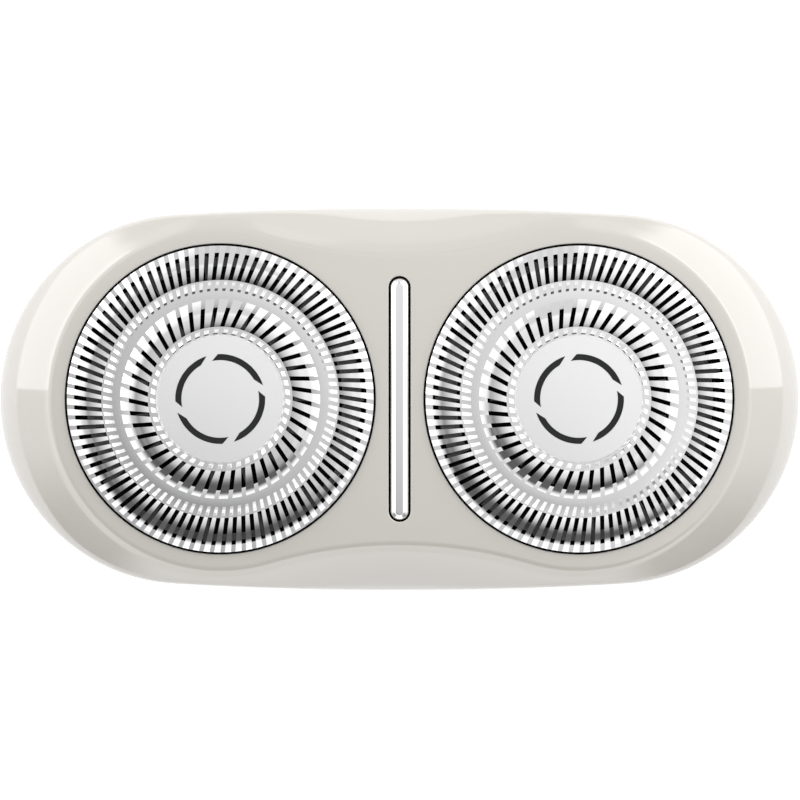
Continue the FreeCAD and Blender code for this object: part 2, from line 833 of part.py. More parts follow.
def make_comb_cap(side, x):
    body = new_body(f"{side}_comb_cap")
    cap_radius = centre_radius - s.cap_side_gap
    cap_top = comb_floor + s.cap_thickness
    revolve(body, "cap_disc", [
        (0, web_bottom - s.pivot_length),
        (s.pivot_radius, web_bottom - s.pivot_length),
        (s.pivot_radius, web_bottom),
        (s.stem_radius, web_bottom),
        (s.stem_radius, comb_floor),
        (cap_radius, comb_floor),
        (cap_radius, cap_top - s.cap_edge),
        (cap_radius - s.cap_edge, cap_top),
        (0, cap_top),
    ])
    mark = Drawing(body, "mark_outline", height=cap_top)
    mark.ring_sector(s.mark_radius - s.mark_width / 2, s.mark_radius + s.mark_width / 2,
                     s.mark_inner_start, s.mark_inner_end, s.mark_outer_start, s.mark_outer_end)
    recess = pocket(body, "mark", mark, s.mark_depth)
    polar(body, "marks", [recess], mark, s.mark_count)
    set_place(body, x)
    return hand_over(body, f"{side}_comb_cap")


def make_cutter_blades(side, x, half_turn):
    body = new_body(f"{side}_cutter_blades")
    rim = channel_outer - s.cutter_rim_gap
    bore = s.hub_boss_radius + s.hub_disc_gap
    revolve(body, "disc", [(bore, disc_bottom), (rim, disc_bottom), (rim, disc_top), (bore, disc_top)])
    half_window = s.window_angle / 2
    window = Drawing(body, "window_outline", height=disc_bottom)
    window.ring_sector(channel_inner + s.window_rim, channel_outer_in - s.window_rim,
                       -half_window, half_window, -half_window, half_window)
    opening = pocket(body, "window", window, s.cutter_thickness, up=True)
    polar(body, "windows", [opening], window, s.window_count)
    blade_height = comb_ceiling - s.blade_top_gap - disc_top
    half_blade = s.blade_thickness / 2
    rows = (("outer", channel_outer_in, channel_outer), ("inner", channel_inner_in, channel_inner))
    for row, inner, outer in rows:
        near = inner + s.blade_side_gap
        far = outer - s.blade_side_gap * 2
        plan = Drawing(body, f"{row}_blade_outline", height=disc_top)
        plan.polygon([(near, -half_blade), (far, -half_blade), (far, half_blade), (near, half_blade)])
        blade = pad(body, f"{row}_blade", plan, blade_height)
        polar(body, f"{row}_blades", [blade], plan, s.blade_count)
    set_place(body, x, half_turn=half_turn)
    return hand_over(body, f"{side}_cutter_blades")


def make_cutter_hub(side, x):
    body = new_body(f"{side}_cutter_hub")
    bore = s.pivot_radius + s.pivot_gap
    bore_bottom = web_bottom - s.pivot_length - s.hub_boss_gap
    revolve(body, "hub_turning", [
        (0, collar_bottom),
        (s.hub_collar_radius, collar_bottom),
        (s.hub_collar_radius, collar_top),
        (s.hub_flange_radius, collar_top),
        (s.hub_flange_radius, disc_bottom),
        (s.hub_boss_radius, disc_bottom),
        (s.hub_boss_radius, hub_top),
        (bore, hub_top),
        (bore, bore_bottom),
        (0, bore_bottom),
    ])
    socket = Drawing(body, "socket_outline", height=collar_bottom).rectangle(s.socket_side, s.socket_side)
    pocket(body, "socket", socket, s.socket_depth, up=True)
    set_place(body, x)
    return hand_over(body, f"{side}_cutter_hub")


def make_coupler(side, x):
    body = new_body(f"{side}_coupler")
    sleeve = Drawing(body, "sleeve_circle", height=coupler_bottom).circle(s.coupler_radius)
    pad(body, "sleeve", sleeve, s.coupler_length)
    square = s.post_side + s.coupler_square_gap * 2
    hollow = Drawing(body, "hollow_outline", height=coupler_bottom).rectangle(square, square)
    pocket(body, "hollow", hollow, coupler_ceiling - coupler_bottom, up=True)
    tip = Drawing(body, "tip_outline", height=coupler_top).rectangle(s.tip_side, s.tip_side)
    pad(body, "tip", tip, tip_top - coupler_top, taper=-s.tip_taper)
    set_place(body, x)
    return hand_over(body, f"{side}_coupler")


def make_coupler_spring(side, x):
    """Coil spring of square wire between the drive post and the coupler's roof."""
    wire = s.spring_wire.value
    radius = s.spring_radius.value
    bottom = post_top.value + s.spring_end_gap.value + wire / 2
    height = coupler_ceiling.value - s.spring_end_gap.value - wire / 2 - bottom
    turns = int(s.spring_turns.value)
    helix = Part.makeHelix(height / turns, height, radius)
    half = wire / 2
    wire_corners = ((-half, -half), (half, -half), (half, half), (-half, half), (-half, -half))
    section = Part.makePolygon([V(radius + dx, 0, dz) for dx, dz in wire_corners])
    coil = Part.Wire(helix).makePipeShell([section], True, True)
    spring = doc.addObject("Part::Feature", f"{side}_coupler_spring")
    spring.Shape = coil
    spring.Placement = FreeCAD.Placement(V(x.value, 0, bottom), FreeCAD.Rotation())
    return hand_over(spring, f"{side}_coupler_spring")


def involute_angle(radius, base):
    """Polar angle in radians that an involute has gained at a radius."""
    ratio = max(radius / base, 1.0)
    roll = math.sqrt(ratio * ratio - 1)
    return roll - math.atan(roll)


def toothed_disc(name, teeth):
    """Spur gear disc about the Z axis, one flank corner at the pitch circle."""
    module = head_pitch.value / (s.pinion_teeth.value + s.gear_teeth.value)
    count = int(teeth.value)
    pitch = module * count / 2
    base = pitch * math.cos(math.radians(s.pressure_angle.value))
    tip = pitch + module
    foot = pitch - module * s.tooth_root_ratio.value
    half_tooth = math.pi / (2 * count) - s.tooth_backlash.value / (2 * pitch)
    at_pitch = involute_angle(pitch, base)
    flank = []
    for radius in (foot, pitch, tip):
        start = max(radius, base)
        flank.append((radius, half_tooth + at_pitch - involute_angle(start, base)))
    points = []
    for tooth in range(count):
        middle = 2 * math.pi * tooth / count
        rising = [(radius, middle - turn) for radius, turn in flank]
        falling = [(radius, middle + turn) for radius, turn in reversed(flank)]
        points += [V(radius * math.cos(a), radius * math.sin(a), 0) for radius, a in rising + falling]
    disc = doc.addObject("Part::Feature", name)
    disc.Shape = Part.Face(Part.makePolygon(points + points[:1])).extrude(V(0, 0, s.gear_width.value))
    disc.Placement = FreeCAD.Placement(V(0, 0, gear_bottom.value), FreeCAD.Rotation())
    return disc


def make_drive_gear(side, x):
    disc = toothed_disc(f"{side}_gear_disc", s.gear_teeth)
    shaft = cylinder(f"{side}_gear_shaft", s.shaft_radius, shaft_top - gear_top, gear_top)
    post = square_bar(f"{side}_drive_post", s.post_side, s.post_height, shaft_top)
    blank = fuse(f"{side}_gear_blank", [disc, shaft, post])
    bore_depth = shaft_top - s.axle_top_cover + s.axle_gap - gear_bottom
    bore = cylinder(f"{side}_gear_bore", s.axle_radius + s.axle_gap, bore_depth, gear_bottom)
    gear = cut(f"{side}_drive_gear", blank, bore)
    set_place(gear, x)
    return hand_over(gear, f"{side}_drive_gear")


def make_input_pinion():
    disc = toothed_disc("pinion_disc", s.pinion_teeth)
    half_tooth = FreeCAD.Rotation(V(0, 0, 1), HALF_TURN / s.pinion_teeth.value)
    disc.Placement = FreeCAD.Placement(disc.Placement.Base, half_tooth)
    hub_bottom = s.neck_depth + s.gear_end_play
    hub = cylinder("pinion_hub", s.pinion_hub_radius, gear_bottom - hub_bottom, hub_bottom)
    pin = cylinder("pinion_pin", s.pin_radius, s.pin_length, gear_top)
    blank = fuse("pinion_blank", [disc, hub, pin])
    hex_socket = doc.addObject("Part::Prism", "pinion_socket")
    hex_socket.Polygon = 6
    hex_socket.setExpression("Circumradius", (s.hex_across / root(as_size(3))).text)
    hex_socket.setExpression("Height", s.hex_depth.text)
    hex_socket.setExpression("Placement.Base.z", hub_bottom.text)
    return hand_over(cut("input_pinion", blank, hex_socket), "input_pinion")


def make_gear_axle(side, x):
    body = new_body(f"{side}_gear_axle")
    top = shaft_top - s.axle_top_cover
    collar_top = gear_bottom - s.gear_end_play
    revolve(body, "axle_turning", [
        (0, s.bottom_thickness),
        (s.axle_collar_radius, s.bottom_thickness),
        (s.axle_collar_radius, collar_top),
        (s.axle_radius, collar_top),
        (s.axle_radius, top),
        (0, top),
    ])
    set_place(body, x)
    return hand_over(body, f"{side}_gear_axle")


def make_spindle_seal(side, x):
    body = new_body(f"{side}_spindle_seal")
    inner = s.shaft_radius + s.seal_gap
    outer = s.shaft_radius + s.seal_gap + s.seal_width
    revolve(body, "seal_ring", [
        (inner, floor_bottom), (outer, floor_bottom), (outer, floor_top), (inner, floor_top),
    ])
    set_place(body, x)
    return hand_over(body, f"{side}_spindle_seal")


def make_base_shell():
    body = new_body("base_shell")
    plan = Drawing(body, "base_outline").outline()
    block = pad(body, "base_block", plan, s.parting_height)
    doc.recompute()
    faces = block.Shape.Faces
    foot = min(range(len(faces)), key=lambda i: faces[i].CenterOfMass.z)
    bevel = body.newObject("PartDesign::Chamfer", "foot_bevel")
    bevel.Base = (block, [f"Face{foot + 1}"])
    bevel.setExpression("Size", s.foot_bevel.text)
    lip = Drawing(body, "lip_outline", height=s.parting_height).outline(lip_inset)
    pad(body, "lip", lip, s.lip_height)
    lip_top = s.parting_height + s.lip_height
    chamber = Drawing(body, "chamber_outline", height=lip_top).outline(chamber_inset)
    pocket(body, "chamber", chamber, lip_top - floor_top)
    recess = Drawing(body, "recess_outline").outline(plate_recess_inset)
    pocket(body, "plate_recess", recess, s.ledge_height, up=True)
    room = Drawing(body, "gear_room_outline").outline(gear_room_inset)
    pocket(body, "gear_room", room, floor_bottom, up=True)
    holes = Drawing(body, "spindle_hole_circles", height=floor_top)
    for x in (half_pitch, -half_pitch):
        holes.circle(s.shaft_radius + s.seal_gap + s.seal_width, x, 0)
    pocket(body, "spindle_holes", holes, s.floor_thickness)
    pin_bore = Drawing(body, "pin_bore_circle", height=floor_bottom).circle(s.pin_radius + s.axle_gap)
    pocket(body, "pin_bore", pin_bore, s.pin_length - s.gear_roof_gap + s.axle_gap, up=True)
    posts = Drawing(body, "magnet_post_circles", height=floor_top)
    bores = Drawing(body, "magnet_bore_circles", height=magnet_top)
    for y in (s.magnet_offset, -s.magnet_offset):
        posts.circle(s.magnet_radius + s.magnet_gap + s.magnet_post_wall, 0, y)
        bores.circle(s.magnet_radius + s.magnet_gap, 0, y)
    pad(body, "magnet_posts", posts, magnet_top - floor_top)
    pocket(body, "magnet_bores", bores, s.magnet_height)
    bosses = Drawing(body, "screw_boss_circles", height=s.bottom_thickness)
    threads = Drawing(body, "screw_hole_circles", height=s.bottom_thickness)
    for x, y in screw_places():
        bosses.circle(s.screw_boss_radius, x, y)
        threads.circle(s.screw_radius, x, y)
    pad(body, "screw_bosses", bosses, floor_bottom - s.bottom_thickness)
    pocket(body, "screw_holes", threads, s.screw_reach - s.bottom_thickness + s.screw_head_gap, up=True)
    return hand_over(body, "base_shell")


def screw_places():
    return [
        (screw_x, 0),
        (-screw_x, 0),
        (0, screw_y),
        (0, -screw_y),
    ]


def make_bottom_plate():
    body = new_body("bottom_plate")
    plan = Drawing(body, "bottom_outline").outline(bottom_inset)
    pad(body, "bottom_sheet", plan, s.bottom_thickness)
    collar = Drawing(body, "neck_circle").circle(s.neck_radius + s.neck_wall)
    pad(body, "neck", collar, neck_top)
    bore = Drawing(body, "neck_bore_circle").circle(s.neck_radius)
    pocket(body, "neck_bore", bore, s.neck_depth, up=True)
    bush_hole = Drawing(body, "bush_hole_circle").circle(s.bush_radius)
    pocket(body, "bush_hole", bush_hole, neck_top, up=True)
    heads = Drawing(body, "screw_head_circles")
    shanks = Drawing(body, "screw_shank_circles")
    for x, y in screw_places():
        heads.circle(s.screw_head_radius + s.screw_head_gap, x, y)
        shanks.circle(s.screw_radius + s.screw_head_gap, x, y)
    pocket(body, "screw_heads", heads, s.screw_head_height + s.screw_head_gap, up=True)
    pocket(body, "screw_shanks", shanks, s.bottom_thickness, up=True)
    return hand_over(body, "bottom_plate")


def make_base_gasket():
    body = new_body("base_gasket")
    plan = Drawing(body, "gasket_outline", height=s.bottom_thickness)
    plan.outline(plate_recess_inset + s.gasket_gap)
    plan.outline(gear_room_inset - s.gasket_gap)
    pad(body, "gasket_ring", plan, s.ledge_height - s.bottom_thickness)
    return hand_over(body, "base_gasket")


def make_input_bush():
    body = new_body("input_bush")
    inner = s.pinion_hub_radius + s.bush_gap
    bottom = s.neck_depth
    revolve(body, "bush_ring", [
        (inner, bottom), (s.bush_radius, bottom), (s.bush_radius, neck_top), (inner, neck_top),
    ])
    return hand_over(body, "input_bush")


def make_pair(label, radius, height, bottom):
    """Two equal round pieces at the magnets' places, kept as one group."""
    pair = doc.addObject("Part::Compound", label)
    pair.Links = [
        cylinder(f"{label}_back", radius, height, bottom, y=s.magnet_offset),
        cylinder(f"{label}_front", radius, height, bottom, y=-s.magnet_offset),
    ]
    return hand_over(pair, label)


def make_plate_screws():
    head_bottom = s.screw_head_gap
    shank_bottom = head_bottom + s.screw_head_height
    screws = []
    for number, (x, y) in enumerate(screw_places(), start=1):
        x = None if x == 0 else x
        y = None if y == 0 else y
        name = f"screw_{number}"
        head = cylinder(f"{name}_head", s.screw_head_radius, s.screw_head_height, head_bottom, x, y)
        shank = cylinder(f"{name}_shank", s.screw_radius, s.screw_reach - shank_bottom, shank_bottom, x, y)
        screws.append(fuse(name, [head, shank]))
    group = doc.addObject("Part::Compound", "plate_screws")
    group.Links = screws
    return hand_over(group, "plate_screws")


make_base_shell()
make_bottom_plate()
make_base_gasket()
make_plate_screws()
make_input_bush()
make_pair("base_magnets", s.magnet_radius, s.magnet_height, magnet_top - s.magnet_height)
make_input_pinion()
for side, x in (("left", -half_pitch), ("right", half_pitch)):
    make_gear_axle(side, x)
    make_spindle_seal(side, x)
    make_drive_gear(side, x)
    make_coupler(side, x)
    make_coupler_spring(side, x)
    make_cutter_hub(side, x)
    make_cutter_blades(side, x, half_turn=side == "right")
    make_comb(side, x)
    make_comb_cap(side, x)
make_head_cover()
make_inner_frame()
make_trim_bar()
make_retaining_plate()
make_pair("cover_strike_plates", s.strike_radius, s.strike_thickness, strike_bottom)
make_retainer_knob()

doc.recompute()
for item in doc.Objects:
    if "Invalid" in item.State or "Error" in item.State:
        raise RuntimeError(f"{item.Name} failed: {item.State}")
broken = [piece.Label for piece in sub_parts if piece.Shape.isNull() or not piece.Shape.isValid()]
if broken:
    raise RuntimeError(f"no valid shape: {broken}")

os.makedirs("parts", exist_ok=True)
for piece in sub_parts:
    piece.Shape.exportStep(f"parts/{piece.Label}.step")
    print(piece.Label, len(piece.Shape.Solids), "solid", round(piece.Shape.Volume, 2), "mm3")
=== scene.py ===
import bmesh
import bpy
import math
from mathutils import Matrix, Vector


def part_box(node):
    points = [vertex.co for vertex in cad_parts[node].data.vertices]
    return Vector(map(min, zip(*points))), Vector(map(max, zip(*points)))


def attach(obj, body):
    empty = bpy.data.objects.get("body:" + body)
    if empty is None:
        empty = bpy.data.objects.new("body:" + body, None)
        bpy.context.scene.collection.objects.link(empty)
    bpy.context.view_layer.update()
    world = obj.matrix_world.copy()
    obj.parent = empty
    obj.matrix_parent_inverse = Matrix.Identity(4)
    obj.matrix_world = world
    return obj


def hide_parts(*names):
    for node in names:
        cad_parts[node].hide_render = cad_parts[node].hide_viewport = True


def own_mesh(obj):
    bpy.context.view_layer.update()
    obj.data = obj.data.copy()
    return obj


# Looks of the rotary shaver head, face up and seen from straight above. Lengths are in metres.

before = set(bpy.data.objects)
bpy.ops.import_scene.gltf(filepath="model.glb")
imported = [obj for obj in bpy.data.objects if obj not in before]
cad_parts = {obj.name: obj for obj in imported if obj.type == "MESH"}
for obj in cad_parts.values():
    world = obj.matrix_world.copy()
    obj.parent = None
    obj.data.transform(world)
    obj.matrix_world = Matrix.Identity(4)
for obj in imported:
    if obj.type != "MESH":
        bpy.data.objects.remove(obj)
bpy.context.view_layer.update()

MM = 0.001
SIDES = (("left", -1), ("right", 1))

# Plan of the head, as in the solids
HALF_PITCH = 14.0 * MM
PLATEAU_RADIUS = 13.27 * MM
WAIST_HALF = 11.25 * MM
OPENING_RADIUS = 12.12 * MM
OUTLINE_LOW, OUTLINE_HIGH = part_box("head_cover")
HALF_LENGTH = OUTLINE_HIGH.x
HALF_WIDTH = OUTLINE_HIGH.y
SIDE_BULGE = 0.5 * MM
TIP_RADIUS = HALF_WIDTH - SIDE_BULGE
TIP_X = HALF_LENGTH - TIP_RADIUS
SIDE_RADIUS = (TIP_X ** 2 + HALF_WIDTH ** 2 - TIP_RADIUS ** 2) / (2 * SIDE_BULGE)
WAIST_RADIUS = (
    (HALF_PITCH ** 2 + WAIST_HALF ** 2 - PLATEAU_RADIUS ** 2) / (2 * (PLATEAU_RADIUS - WAIST_HALF)))
WAIST_CENTRE = WAIST_HALF + WAIST_RADIUS
# Where the search for the outline starts and ends, and how often it halves
REACH_SPAN = (-4 * MM, 8 * MM)
REACH_HALVINGS = 40

# Heights of the cover
PARTING_Z = OUTLINE_LOW.z
PLATEAU_Z = OUTLINE_HIGH.z
CEILING_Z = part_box("inner_frame")[1].z
CAVITY_Z = PARTING_Z + 3.8 * MM
COVER_WALL = 1.3 * MM
SEAT_INSET = 0.4 * MM
SLOPE_DROP = 4.0 * MM
SLOPE_REACH = 3.99 * MM
SLOPE_CURVE = 6.5 * MM
CREST_ROUND = 0.25 * MM
EDGE_ROUND = 0.45 * MM
OPENING_ROUND = 0.07 * MM
OPENING_FLAT = 0.02 * MM
# Lean of the face's normals over their distance from its middle line
FACE_CROWN = math.tan(math.radians(1.2)) / (11.0 * MM)
# Height of a face's normal above which it counts as facing up
FACING_UP = 0.5
# Step over which a slope's tilt is measured
SLOPE_PROBE = 0.01 * MM

# Comb discs, from the rim inwards
COMB_RADIUS = 11.97 * MM
COMB_TOP_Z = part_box("left_comb")[1].z
COMB_FLOOR_Z = COMB_TOP_Z - 0.55 * MM
COMB_CEILING_Z = COMB_TOP_Z - 0.5 * MM
FLANGE_RADIUS = 12.45 * MM
FLANGE_TOP_Z = 17.5 * MM
FLANGE_BOTTOM_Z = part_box("left_comb")[0].z
WEB_BOTTOM_Z = COMB_CEILING_Z - 1.1 * MM
DISC_TOP_Z = WEB_BOTTOM_Z - 0.6 * MM
HEART_RADIUS = 1.6 * MM
SLOT_LEAN = 1.64 * MM
RIB_GAP = 0.335 * MM
RIB_SUNK = 0.05 * MM
NOTCH_WALL = 0.02 * MM
# Tracks of ribs: count, turn and tilt at the rim in degrees, and radii from the rim inwards
OUTER_TRACK = {
    "count": 90, "turn": -1.0, "rim_tilt": 27.5, "rim": COMB_RADIUS, "channel_out": 11.42 * MM,
    "crest": 10.0 * MM, "channel_in": 9.29 * MM, "bead_out": 9.15 * MM, "bead_top": 8.64 * MM,
    "foot": 8.45 * MM,
}
INNER_TRACK = {
    "count": 45, "turn": -0.4, "rim_tilt": 22.5, "rim": 7.8 * MM, "channel_out": 7.14 * MM,
    "crest": 6.18 * MM, "channel_in": 5.65 * MM, "bead_out": 5.45 * MM, "bead_top": 5.16 * MM,
    "foot": 5.06 * MM,
}
BEAD_OUT_TILT = 25.0
BEAD_IN_TILT = 15.0
BEAD_FOOT = 0.06 * MM
MIDDLE_RISE = 0.05 * MM
# The skirt's wall is painted black below a height and beyond a share of the disc's radius: painted
# shade in the narrow gap round the disc
SKIRT_SHADE_Z = 20.3 * MM
SKIRT_SHADE_SHARE = 0.97

# Pads on the cutter under the outer slots: radii from and to, and the sector from and to in degrees
CUTTER_PADS = (
    (10.35 * MM, 11.1 * MM, 50.0, 147.0), (9.35 * MM, 10.48 * MM, 153.0, 215.0),
    (10.55 * MM, 11.1 * MM, 233.0, 329.0), (9.55 * MM, 11.0 * MM, 333.0, 385.0),
)
PAD_THICKNESS = 0.12 * MM
PAD_STEPS = 24

# Marks in the comb caps, their outer and inner arcs from and to in degrees
MARK_RADIUS = 3.27 * MM
MARK_WIDTH = 0.49 * MM
MARK_OUTER = (17.5, 93.0)
MARK_INNER = (30.0, 102.5)
MARK_COUNT = 4
MARK_STEPS = 20
MARK_SIDE_GAP = 0.01 * MM
CAP_TOP_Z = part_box("left_comb_cap")[1].z
# Lean of the cap's normals over their distance from its axis
CAP_CROWN = math.tan(math.radians(2.0)) / (4.4 * MM)
MARK_BOTTOM_Z = CAP_TOP_Z - 0.1 * MM
MARK_TOP_Z = CAP_TOP_Z - 0.02 * MM

# Bar slot
SLOT_WIDTH = 1.72 * MM
SLOT_LENGTH = 19.2 * MM
BAR_GAP = 0.15 * MM
BAR_BOW = 0.12 * MM
# Tilt of the bar's top in degrees at distances from its middle line
BAR_TILTS = ((0.25 * MM, 8.0), (0.35 * MM, 25.0), (0.62 * MM, 32.0), (0.71 * MM, 82.0))
BAR_STEPS = 28
BAR_SIDE_STEPS = 16
BAR_END_STEPS = 12
PEG_RADIUS = 0.5 * MM
PEG_Y = 6.0 * MM
PEG_LENGTH = 1.0 * MM

# Coil springs under the couplers
SPRING_RADIUS = 0.95 * MM
SPRING_WIRE = 0.26 * MM
SPRING_TURNS = 3
SPRING_STEPS = 36
WIRE_SIDES = 10

# Studio: a dome close round the head, its radiance by plain zones with soft edges. Tilts are in
# degrees from straight up, as are the parts of a tilt to the east and north. A bearing is the share
# of the level direction that points north.
DOME_RADIUS = 200 * MM
DOME_CENTRE = (-14.0 * MM, 0.0, 0.0)
DOME_RINGS = 30
OVERHEAD = 0.64
OVERHEAD_SLOPE = 0.029
OVERHEAD_FACING = 48.0
OVERHEAD_RANGE = (0.35, 1.0)
WALL = 1.08
WALL_TILT = (11.0, 22.0)
EAST_PANEL = 0.92
EAST_PANEL_TILT = (10.0, 14.0, 23.0, 30.0)
EAST_PANEL_EASTWARD = (0.75, 0.95)
BACK_STRIP = 0.72
BACK_STRIP_EAST = (-10.0, -6.0, 7.0, 11.0)
BACK_STRIP_NORTH = (13.0, 19.0)
FLAG = 0.115
FLAG_FACING = 257.0
FLAG_EDGES = (0.0, 17.0)
FLAG_LEFT_EDGE = (-31.0, -18.5)
FLAG_LOW_EDGE = (30.0, 40.0)
FRONT_TILT = (47.0, 50.0)
FRONT_CORNERS = 0.35
FRONT_CORNERS_BEARING = (-0.2, -0.65)
FRONT_MIDDLE = 1.3
FRONT_MIDDLE_BEARING = (-0.8, -0.97)
END_BOX = 2.12
END_BOX_TILT = (36.5, 37.5)
END_BOX_BEARING = (0.045, 0.055, 0.8, 0.91)
BACK_BOX = 0.9
BACK_BOX_TILT = (53.5, 54.5)
BACK_BOX_BEARING = (0.8, 0.91)
CREST_GLINT = 0.35
CREST_TILT = (33.0, 36.0, 43.0, 48.0)
CREST_BEARING = (-0.55, -0.25, 0.84, 0.86)

# Lamp, and the floor with the light that it adds of its own to what the camera sees
LAMP_PLACE = (0.0, 120 * MM, 150 * MM)
LAMP_SIZE = 60 * MM
LAMP_POWER = 0.03
FLOOR_LIFT = 0.76
FLOOR_HALF = 3.0
FLOOR_Z = -0.05 * MM
FLOOR_COLOUR = (0.5, 0.5, 0.5, 1)

# Camera: the view's centre and the width that fills the picture
VIEW_WIDTH = 62.56 * MM
VIEW_CENTRE = Vector((0.03, -0.08, 0)) * MM
CAMERA_HEIGHT = 2.4
CAMERA_NEAR = 0.01
SENSOR_WIDTH = 36.0

# Grain of the finishes: detail of the noise, and the part of its range that is used
GRAIN_DETAIL = 3.0
GRAIN_RANGE = (0.3, 0.7)

# Angles in degrees past which an edge stays sharp
SHARP_PLAIN = 40.0
SHARP_SOLID = 28.0
SHARP_COVER = 32.0
SHARP_RIBS = 12.0
SHARP_INLAY = 30.0
SHARP_BAR = 7.5
SHARP_COIL = 50.0

# Steps of the meshes
CREST_STEPS = 8
SLOPE_STEPS = 14
EDGE_STEPS = 6
SECTOR_STEPS = 64
WAIST_STEPS = 24
CIRCLE_STEPS = 192
ROUND_STEPS = 5
CROWN_STEPS = 26
PEG_STEPS = 24
DOME_STEPS = 96
TINY = 1e-6


def srgb(r, g, b):
    """A colour as it shows in a picture, 0 to 255, as the shader's linear value."""
    def linear(channel):
        part = channel / 255
        return part / 12.92 if part <= 0.04045 else ((part + 0.055) / 1.055) ** 2.4
    return (linear(r), linear(g), linear(b), 1.0)


# Materials

class Nodes:
    """Adds nodes to a tree. An input takes a value or the output of another node."""

    def __init__(self, tree):
        self.tree = tree

    def add(self, kind, **settings):
        made = self.tree.nodes.new(kind)
        for key, value in settings.items():
            setattr(made, key, value)
        return made

    def feed(self, socket, value):
        if isinstance(value, bpy.types.NodeSocket):
            self.tree.links.new(value, socket)
        else:
            socket.default_value = value

    def maths(self, operation, *values):
        made = self.add("ShaderNodeMath", operation=operation)
        for index, value in enumerate(values):
            self.feed(made.inputs[index], value)
        return made.outputs[0]

    def length(self, x, y):
        squares = [self.maths("MULTIPLY", part, part) for part in (x, y)]
        return self.maths("SQRT", self.maths("ADD", *squares))

    def place(self):
        """A point's coordinates in its object."""
        parts = self.add("ShaderNodeSeparateXYZ")
        self.feed(parts.inputs[0], self.add("ShaderNodeTexCoord").outputs["Object"])
        return parts.outputs

    def disc_distance(self):
        """Distance from the nearer disc's axis, for the rings that turning leaves."""
        x, y, _ = self.place()
        return self.length(self.maths("SUBTRACT", self.maths("ABSOLUTE", x), HALF_PITCH), y)


def bare_material(name):
    """A material whose node tree is still empty."""
    made = bpy.data.materials.new(name)
    made.use_nodes = True
    made.node_tree.nodes.clear()
    return made, Nodes(made.node_tree)


def material(name, colour, roughness, metallic=0.0, coat=0.0, coat_ior=1.5, specular=0.5,
             grain=1500.0, stretch=(1, 1, 1), spread=0.15, shade=0.01, relief=0.0,
             turned_rings=False):
    """A finish with fine grain in its colour and roughness.

    Grain counts cells per metre, and stretch multiplies that count along X, Y and Z. Spread and
    shade are the shares by which roughness and colour vary, and relief is in metres.
    """
    made = bpy.data.materials.new(name)
    made.use_nodes = True
    nodes = Nodes(made.node_tree)
    shader = made.node_tree.nodes["Principled BSDF"]
    shader.inputs["Metallic"].default_value = metallic
    shader.inputs["Specular IOR Level"].default_value = specular
    shader.inputs["Coat Weight"].default_value = coat
    shader.inputs["Coat IOR"].default_value = coat_ior
    noise = nodes.add("ShaderNodeTexNoise", noise_dimensions="1D" if turned_rings else "3D")
    noise.inputs["Detail"].default_value = GRAIN_DETAIL
    if turned_rings:
        noise.inputs["Scale"].default_value = grain
        nodes.feed(noise.inputs["W"], nodes.disc_distance())
    else:
        mapping = nodes.add("ShaderNodeMapping")
        mapping.inputs["Scale"].default_value = [grain * part for part in stretch]
        nodes.feed(mapping.inputs["Vector"], nodes.add("ShaderNodeTexCoord").outputs["Object"])
        noise.inputs["Scale"].default_value = 1.0
        nodes.feed(noise.inputs["Vector"], mapping.outputs["Vector"])
    cells = noise.outputs[0]
    gloss = nodes.add("ShaderNodeMapRange")
    nodes.feed(gloss.inputs["Value"], cells)
    for end, limit, share in zip(("Min", "Max"), GRAIN_RANGE, (1 - spread, 1 + spread)):
        gloss.inputs[f"From {end}"].default_value = limit
        gloss.inputs[f"To {end}"].default_value = roughness * share
    nodes.feed(shader.inputs["Roughness"], gloss.outputs["Result"])
    tone = nodes.add("ShaderNodeMix", data_type="RGBA")
    nodes.feed(tone.inputs[0], cells)
    tone.inputs[6].default_value = [part * (1 - shade) for part in colour[:3]] + [1]
    tone.inputs[7].default_value = [min(part * (1 + shade), 1) for part in colour[:3]] + [1]
    nodes.feed(shader.inputs["Base Color"], tone.outputs[2])
    if relief:
        bump = nodes.add("ShaderNodeBump")
        bump.inputs["Strength"].default_value = 1.0
        bump.inputs["Distance"].default_value = relief
        nodes.feed(bump.inputs["Height"], cells)
        nodes.feed(shader.inputs["Normal"], bump.outputs["Normal"])
    return made


COVER = material(
    "cover_gloss", srgb(195, 191, 184), 0.08, coat=1.0, coat_ior=2.0, specular=0.8, grain=1400,
    shade=0.006, relief=0.0004 * MM)
HOUSING = material(
    "housing_gloss", srgb(205, 201, 194), 0.22, coat=1.0, coat_ior=1.7, grain=1400, shade=0.008,
    relief=0.0008 * MM)
CHROME = material(
    "comb_chrome", (0.93, 0.93, 0.935, 1), 0.06, metallic=1.0, grain=3000, spread=0.2, shade=0.006)
SATIN = material(
    "comb_satin", (0.86, 0.86, 0.865, 1), 0.13, metallic=1.0, grain=12000, spread=0.2, shade=0.015,
    turned_rings=True)
CAP = material(
    "cap_satin", (0.855, 0.855, 0.855, 1), 0.25, metallic=0.5, grain=16000, spread=0.05,
    shade=0.003, turned_rings=True)
MARK = material(
    "mark_dark", (0.016, 0.017, 0.017, 1), 0.6, specular=0.2, grain=6000, shade=0.15,
    relief=0.003 * MM)
CUTTER = material(
    "cutter_steel", (0.03, 0.03, 0.03, 1), 0.6, grain=4000, stretch=(1, 8, 1), shade=0.1)
CUTTER_PAD = material(
    "cutter_pad", (0.22, 0.22, 0.22, 1), 0.6, grain=4000, stretch=(8, 1, 1), shade=0.1)
# Near-black on the cutter's disc is painted shade: it stands for windows in the disc that show the
# dark chamber below
CUTTER_DISC_SHADE = material(
    "cutter_disc_painted_shade", (0.008, 0.008, 0.008, 1), 0.7, specular=0.1, grain=4000, shade=0.1)
BLACK = material(
    "black_plastic", (0.006, 0.006, 0.006, 1), 0.55, specular=0.2, grain=5000, shade=0.1,
    relief=0.004 * MM)
TRIM = material(
    "trim_chrome", (0.93, 0.93, 0.935, 1), 0.08, metallic=1.0, grain=2500, spread=0.2, shade=0.006)
